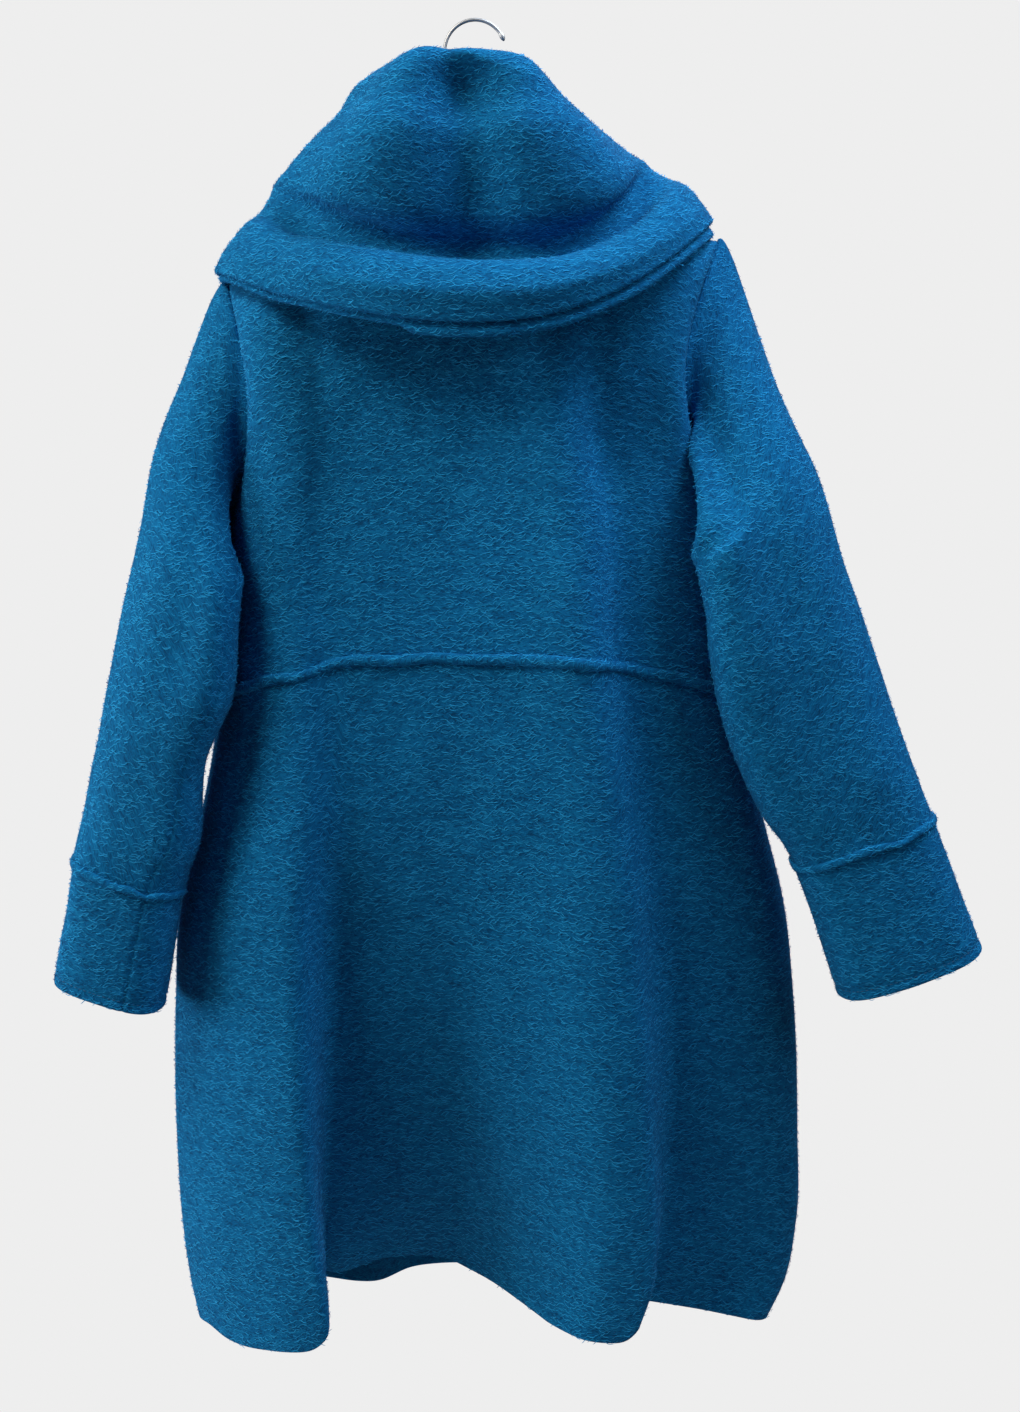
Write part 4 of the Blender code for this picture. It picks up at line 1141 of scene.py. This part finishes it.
def ring_spans(rings):
    """Lengths of the last stretch of the sleeve above the cuff and of the cuff."""
    ends = [((r.outer_x + r.inner_x) / 2, (r.outer_z + r.inner_z) / 2) for r in rings[-3:]]
    return math.dist(ends[0], ends[1]), math.dist(ends[1], ends[2])


# Sewing thread: twisted polyester in the wool's own blue, a little glossier than the wool
sewing_thread = new_material(
    "sewing_thread", {"Base Color": colour(THREAD_BLUE), "Roughness": 0.55, "IOR": 1.55}
)[0]

stitch_nodes, given = node_group(
    "stitches", {"Row": "Geometry", "Stitch": "Object", "Pitch": "Float", "Finish": "Material"}
)
line = add_node(stitch_nodes, "GeometryNodeMeshToCurve", {"Mesh": given.outputs["Row"]})
holes = add_node(
    stitch_nodes,
    "GeometryNodeResampleCurve",
    {"Curve": line.outputs["Curve"], "Length": given.outputs["Pitch"]},
    mode="LENGTH",
)
run = add_node(stitch_nodes, "GeometryNodeInputTangent")
aligned = add_node(
    stitch_nodes, "FunctionNodeAlignRotationToVector", {"Vector": run.outputs["Tangent"]}, axis="X"
)
shape = add_node(stitch_nodes, "GeometryNodeObjectInfo", {"Object": given.outputs["Stitch"]})
sewn = add_node(
    stitch_nodes,
    "GeometryNodeInstanceOnPoints",
    {
        "Points": holes.outputs["Curve"],
        "Instance": shape.outputs["Geometry"],
        "Rotation": aligned.outputs["Rotation"],
    },
)
made_real = add_node(
    stitch_nodes, "GeometryNodeRealizeInstances", {"Geometry": sewn.outputs["Instances"]}
)
finished = add_node(
    stitch_nodes,
    "GeometryNodeSetMaterial",
    {"Geometry": made_real.outputs["Geometry"], "Material": given.outputs["Finish"]},
)
add_node(stitch_nodes, "NodeGroupOutput", {"Made": finished.outputs["Geometry"]})


def one_stitch():
    """One stitch: a short length of thread, drawn in at its ends."""
    angle = np.linspace(0.0, 2 * np.pi, STITCH_SIDES, endpoint=False)
    run = np.linspace(-0.5, 0.5, len(STITCH_GIRTHS)) * STITCH_LENGTH
    radius = THREAD * np.array(STITCH_GIRTHS)
    x = np.repeat(run[:, None], STITCH_SIDES, axis=1)
    loops = np.stack([x, np.outer(radius, np.cos(angle)), np.outer(radius, np.sin(angle))], axis=-1)
    return new_piece("one_stitch", tube_mesh("one_stitch", loops))


stitch = one_stitch()


def stitching(name, row):
    """A row of stitches round a closed line of points."""
    mesh = bpy.data.meshes.new(name)
    count = len(row)
    mesh.from_pydata((row * METRES).tolist(), [(i, (i + 1) % count) for i in range(count)], [])
    inputs = {"Stitch": stitch, "Pitch": STITCH_PITCH * METRES, "Finish": sewing_thread}
    made = set_out(new_piece(name, mesh), stitch_nodes, inputs)
    dress(made, sewing_thread, "boiled_wool")
    return made


for side, word, rings, creases, seam, sleeve_cut, cuff_cut in (
    (-1, "left", LEFT_SLEEVE, LEFT_CREASES, LEFT_SEAM, LEFT_SLEEVE_CUT, LEFT_CUFF_CUT),
    (1, "right", RIGHT_SLEEVE, RIGHT_CREASES, RIGHT_SEAM, RIGHT_SLEEVE_CUT, RIGHT_CUFF_CUT),
):
    above, below = ring_spans(rings)
    head = np.linspace(0.0, 1.0, SLEEVE_HEAD_ROWS)[:-1] ** SLEEVE_HEAD_CROWDING
    sleeve_rows = np.concatenate([head, np.linspace(1.0, CUFF_RING - SEAM / 2 / above, SLEEVE_ROWS)])
    cuff_rows = np.linspace(CUFF_RING + SEAM / 2 / below, CUFF_RING + 1.0, CUFF_ROWS)
    tube = sleeve_face(side, rings, creases, seam, sleeve_rows, 31 + side)
    sleeve = wool_panel(word + "_sleeve_wool", tube, 14 + side, "sleeve_" + word, True)
    stitch_row = CUFF_RING + 1.0 - CUFF_STITCH_ROW / below
    tube = sleeve_face(side, rings, creases, seam, cuff_rows, 41 + side)
    off_row = (cuff_rows - stitch_row) * below / STITCH_HALF_WIDTH
    tube = tube - (STITCH_DEPTH * np.exp(-(off_row**2)))[:, None, None] * outward(tube, True)
    cuff = wool_panel(word + "_cuff_wool", tube, 17 + side, "cuff_" + word, True)
    row = through(cuff_rows, tube, stitch_row)
    stitches = stitching(word + "_cuff_stitches", row)
    welt_rows = CUFF_RING - welt_heights / np.where(welt_heights > 0, above, below)
    strip = sleeve_face(side, rings, creases, None, welt_rows[::-1], None)[::-1]
    loops = welt_loops(strip[:, ::-1], welt_heights, 51 + side, True, CUFF_WELT)
    welt = napped_welt(word + "_cuff_welt", loops, 20 + side, "cuff_welt_" + word, True)


# Hood.
# Two layers of the wool, cut alike and sewn together round the outer edge and into the
# neck. It is folded down over its own stand, so that it lies on the shoulders as a deep
# collar: up inside the stand, over a roll, down a full fall and out to a turned-up brim.
HoodRing = namedtuple(
    "HoodRing", "left right back front z_back z_left z_right z_front sweep_left sweep_right"
)
HOOD = (
    HoodRing(80, 80, 70, 67, -185, -168, -158, -249, 2, 2),  # neck seam
    HoodRing(77, 72, 62, 70, -120, -125, -118, -240, 2, 2),  # stand
    HoodRing(63, 49, 72, 75, -63, -62, -66, -228, 2, 2),  # inner side of the roll
    HoodRing(75, 58, 102, 89, -47, -45, -50, -213, 2, 2),  # top of the roll
    HoodRing(93, 73, 129, 104, -61, -53, -60, -222, 2, 2),  # outer side of the roll
    HoodRing(126, 101, 135, 119, -106, -77, -78, -242, 2.4, 2.6),  # upper fall
    HoodRing(162, 136, 127, 128, -158, -115, -103, -262, 2, 3),  # fullest part of the fall
    HoodRing(176, 155, 112, 134, -203, -147, -118, -285, 1.7, 3),  # trough
    HoodRing(200, 184, 139, 140, -223, -177, -137, -310, 1.9, 2.8),  # crest of the brim
    HoodRing(226, 205, 158, 148, -262, -210, -167, -350, 2, 2),  # outer edge
)
HOOD_END = 162.0  # turn at which the hood ends on each side of the opening
HOOD_FULLNESS, HOOD_FULL_RINGS = 0.35, (2.5, 5.0)  # how far its front is squared, and where
HOOD_NECK_GAP = 0.9
HOOD_LIP = 0.16  # how far the upper layer's edge stops short of the lower one's
HOOD_EDGE = len(HOOD) - 1.0
# The lower layer hangs further at the right shoulder, and is tucked up left of one turn
HOOD_RIGHT_DROP, HOOD_DROP_AT, HOOD_DROP_WIDTH = 0.1, 90.0, 28.0
HOOD_TUCK, HOOD_TUCK_AT, HOOD_TUCK_RUN = 0.09, -12.0, 4.0
HOOD_UNDER_SHIFT = 18.0  # the lower layer's place on the wool's pattern, in metres
HOOD_COLUMNS, HOOD_ROWS = 190, 130
LIP_ROUND, LIP_ROWS = 3.2, 8  # radius of the hem that is turned in along the edge
LIP_SHARE = 0.07  # share of the brim that the hem takes up
LIP_RINGS = (7.9, 8.7)  # rings between which the layers part to make room for the hem
EDGE_NAP_ROWS = 3  # rows above the lower layer's hem that carry nap

# Folds of the hood's fall and creases laid over them: from one ring to another, at these
# turns from the centre of the back
HOOD_FOLDS = (
    Crease(3.3, 7.6, -12, 2, 15, -24),  # valley down the middle
    Crease(2.4, 7.4, -34, -42, 11, 8),  # ridge to its left
    Crease(2.4, 7.6, 28, 52, 16, 8),  # ridge to its right
    Crease(4.6, 7.0, 0, 0, 45, 4),  # fullness over the trough
    Crease(6.3, 7.9, 0, 0, 55, -9),  # trough
)
HOOD_CREASES = (
    Crease(6.6, 9.6, -58, -44, 8, -4),  # dent across the brim
    Crease(5.0, 9.0, -72, -66, 10, 3),  # swell beside it
    Crease(4.5, 8.5, 120, 116, 12, -5),  # dents where the hood turns to the front
    Crease(4.5, 8.5, -122, -118, 12, -5),
    Crease(8.4, 10.0, 0, 0, 60, -5),  # edge of the brim, drawn in
    Crease(6.5, 7.7, -48, -48, 22, -8),  # ends of the trough
    Crease(6.5, 7.7, 48, 48, 20, -8),
    Crease(4.4, 7.0, 0, 0, 50, 9),  # belly of the fall
    Crease(7.3, 8.8, 0, 0, 70, 8),  # crest of the brim
    Crease(4.2, 6.8, -82, -82, 30, -10),  # sides of the fall, drawn in
    Crease(2.4, 7.4, 82, 82, 30, -8.5),
    Crease(6.4, 9.0, 84, 84, 24, -4.5),
    Crease(3.2, 7.2, 6, 4, 16, -12),  # right half of the valley
    Crease(2.8, 6.4, -27, -30, 8, 5),  # ridge at its left
)


def hood_surface(turn, along):
    """Outside of the folded hood's upper layer."""
    turn, along = np.broadcast_arrays(np.asarray(turn, float), np.asarray(along, float))
    sine, cosine = np.sin(np.radians(turn)), np.cos(np.radians(turn))
    rings = np.array(HOOD, float)
    ring = through(np.arange(len(rings)), rings, along)
    size = dict(zip(HoodRing._fields, np.moveaxis(ring, -1, 0)))
    half = (size["right"] + size["left"]) / 2 + (size["right"] - size["left"]) / 2 * sine
    depth = (size["back"] + size["front"]) / 2 + (size["back"] - size["front"]) / 2 * cosine
    side_z = np.where(sine > 0, size["z_right"], size["z_left"])
    end_z = np.where(cosine > 0, size["z_back"], size["z_front"])
    sweep = np.where(sine > 0, size["sweep_right"], size["sweep_left"])
    z = end_z + (side_z - end_z) * np.abs(sine) ** sweep + HOOD_NECK_GAP
    squared = 1 + HOOD_FULLNESS * ramp(*HOOD_FULL_RINGS, along) * sine**2 * (cosine < 0)
    push = crease_relief(HOOD_FOLDS, turn, along)
    return np.stack([(half + push) * sine, -(depth + push) * cosine * squared, z], axis=-1)


def rolled_edge(points):
    """Add the rows of an edge that is turned in to a round hem."""
    normal, way = outward(points)[-1], points[-1] - points[-2]
    way = way / np.linalg.norm(way, axis=-1, keepdims=True)
    angle = np.linspace(0.0, np.pi, LIP_ROWS + 1)[1:, None, None]
    return np.concatenate(
        [points, points[-1] + LIP_ROUND * (np.sin(angle) * way + (np.cos(angle) - 1) * normal)]
    )


def hood_face(edge, depth, seed):
    """One layer's face, this far under the visible one, from the neck to its hemmed edge."""
    turn, along = np.meshgrid(
        np.linspace(HOOD_END, -HOOD_END, HOOD_COLUMNS), np.linspace(0.0, 1.0, HOOD_ROWS)
    )
    along = along * edge(turn)
    points = hood_surface(turn, along)
    relief = crease_relief(HOOD_CREASES, turn, along) + uneven_relief(points, seed)
    points = points + (relief * ramp(0.0, 1.0, along))[..., None] * outward(points)
    return rolled_edge(points - depth(along)[..., None] * outward(points))


def outer_edge(turn):
    return np.full_like(turn, HOOD_EDGE - HOOD_LIP - LIP_SHARE)


def under_edge(turn):
    """The lower layer's edge, tucked up on the left and lower on the right."""
    tuck = HOOD_TUCK * (1 - ramp(HOOD_TUCK_AT - HOOD_TUCK_RUN, HOOD_TUCK_AT, turn))
    drop = HOOD_RIGHT_DROP * np.exp(-(((turn - HOOD_DROP_AT) / HOOD_DROP_WIDTH) ** 2))
    return HOOD_EDGE - LIP_SHARE - tuck + drop


def under_depth(along):
    """How far the lower layer lies under the visible one; more beside the round hem."""
    return WALL + SEAM + (2 * LIP_ROUND - WALL) * ramp(*LIP_RINGS, along)


hood_outer = wool_panel("hood_outer_wool", hood_face(outer_edge, np.zeros_like, 61), 24, "hood_outer")
under_face = hood_face(under_edge, under_depth, 61)
hood_under = cloth_piece("hood_under_wool", under_face, shift=HOOD_UNDER_SHIFT)
dress(hood_under, boiled_wool, "boiled_wool", "hood_under")
edge_face = cloth_mesh("hood_under_wool_nap", under_face[-LIP_ROWS - EDGE_NAP_ROWS :])
under_nap = nap_piece("hood_under_wool_nap", edge_face, 25)
for pattern in (fibre, stitch):
    bpy.data.objects.remove(pattern)


# Studio.
# A plain pale backdrop and floor, soft light from above and the left with weaker lamps
# round it, and a camera at the height of the chest. Lamps and camera are placed in metres.
BACKDROP, GLOW = "#EEEEEE", 0.06  # what the camera sees, and the even light from all round
FLOOR_Z, FLOOR_RADIUS, FLOOR_SIDES = -2200.0, 1500.0, 96
FLOOR_PALES, SCREED = ("#E4E4E4", "#EAEAEA"), 250.0  # two greys, size of their patches
CAMERA_AT, CAMERA_AIM = (0.029, -1.485, -0.366), (0.029, 0.0, -0.575)
LENS, SENSOR = 43.5, 36.0

scene = bpy.context.scene
scene.view_settings.view_transform = "Standard"
world = bpy.data.worlds.new("studio")
world.use_nodes = True
scene.world = world
tree = world.node_tree
seen = add_node(tree, "ShaderNodeBackground", {"Color": colour(BACKDROP), "Strength": 1.0})
glow = add_node(tree, "ShaderNodeBackground", {"Color": (1.0, 1.0, 1.0, 1.0), "Strength": GLOW})
path = add_node(tree, "ShaderNodeLightPath")
sky = add_node(tree, "ShaderNodeMixShader", {0: path.outputs["Is Camera Ray"]})
tree.links.new(glow.outputs["Background"], sky.inputs[1])
tree.links.new(seen.outputs["Background"], sky.inputs[2])
tree.links.new(sky.outputs["Shader"], tree.nodes["World Output"].inputs["Surface"])

Lamp = namedtuple("Lamp", "name place aim size power tint")
LAMPS = (
    Lamp("key", (-1.75, -1.2, 1.8), (0.0, 0.0, -0.55), 1.2, 58.0, "#FFF6EA"),
    Lamp("side", (-2.4, -0.35, -0.5), (-0.2, 0.0, -0.6), 1.6, 36.0, "#FFFFFF"),
    Lamp("top", (0.9, -0.3, 1.35), (0.05, 0.0, -0.4), 1.0, 34.0, "#E2EEFF"),
    Lamp("fill", (2.0, -1.1, 0.9), (0.0, 0.0, -0.6), 1.4, 14.0, "#E8F1FF"),
    Lamp("front", (0.4, 2.2, 0.7), (0.0, 0.0, -0.6), 1.8, 24.0, "#FFFFFF"),
)
for lamp in LAMPS:
    light = bpy.data.lights.new(lamp.name, "AREA")
    light.size, light.energy = lamp.size, lamp.power
    light.color = colour(lamp.tint)[:3]
    holder = bpy.data.objects.new(lamp.name, light)
    scene.collection.objects.link(holder)
    holder.location = lamp.place
    away = Vector(lamp.aim) - Vector(lamp.place)
    holder.rotation_euler = away.to_track_quat("-Z", "Y").to_euler()

pale_floor, tree, shader = new_material("pale_floor", {"Roughness": 0.9})
place = add_node(tree, "ShaderNodeTexCoord").outputs["Object"]
screed = add_node(
    tree, "ShaderNodeTexNoise", {"Vector": place, "Scale": 1 / (SCREED * METRES), "Detail": 4.0}
)
pales = add_node(
    tree,
    "ShaderNodeMix",
    {0: screed.outputs["Fac"], 6: colour(FLOOR_PALES[0]), 7: colour(FLOOR_PALES[1])},
    data_type="RGBA",
)
tree.links.new(pales.outputs[2], shader.inputs["Base Color"])
rim = np.linspace(0.0, 2 * np.pi, FLOOR_SIDES, endpoint=False)
rim = np.stack([np.cos(rim), np.sin(rim)], axis=-1) * FLOOR_RADIUS * METRES
mesh = bpy.data.meshes.new("floor")
mesh.from_pydata([(x, y, FLOOR_Z * METRES) for x, y in rim], [], [list(range(len(rim)))])
floor = new_piece("floor", mesh)
floor.data.materials.append(pale_floor)

eye = bpy.data.cameras.new("camera")
eye.lens, eye.sensor_fit = LENS, "VERTICAL"
eye.sensor_height = SENSOR
camera = bpy.data.objects.new("camera", eye)
scene.collection.objects.link(camera)
camera.location = CAMERA_AT
camera.rotation_euler = (Vector(CAMERA_AIM) - Vector(CAMERA_AT)).to_track_quat("-Z", "Y").to_euler()
scene.camera = camera
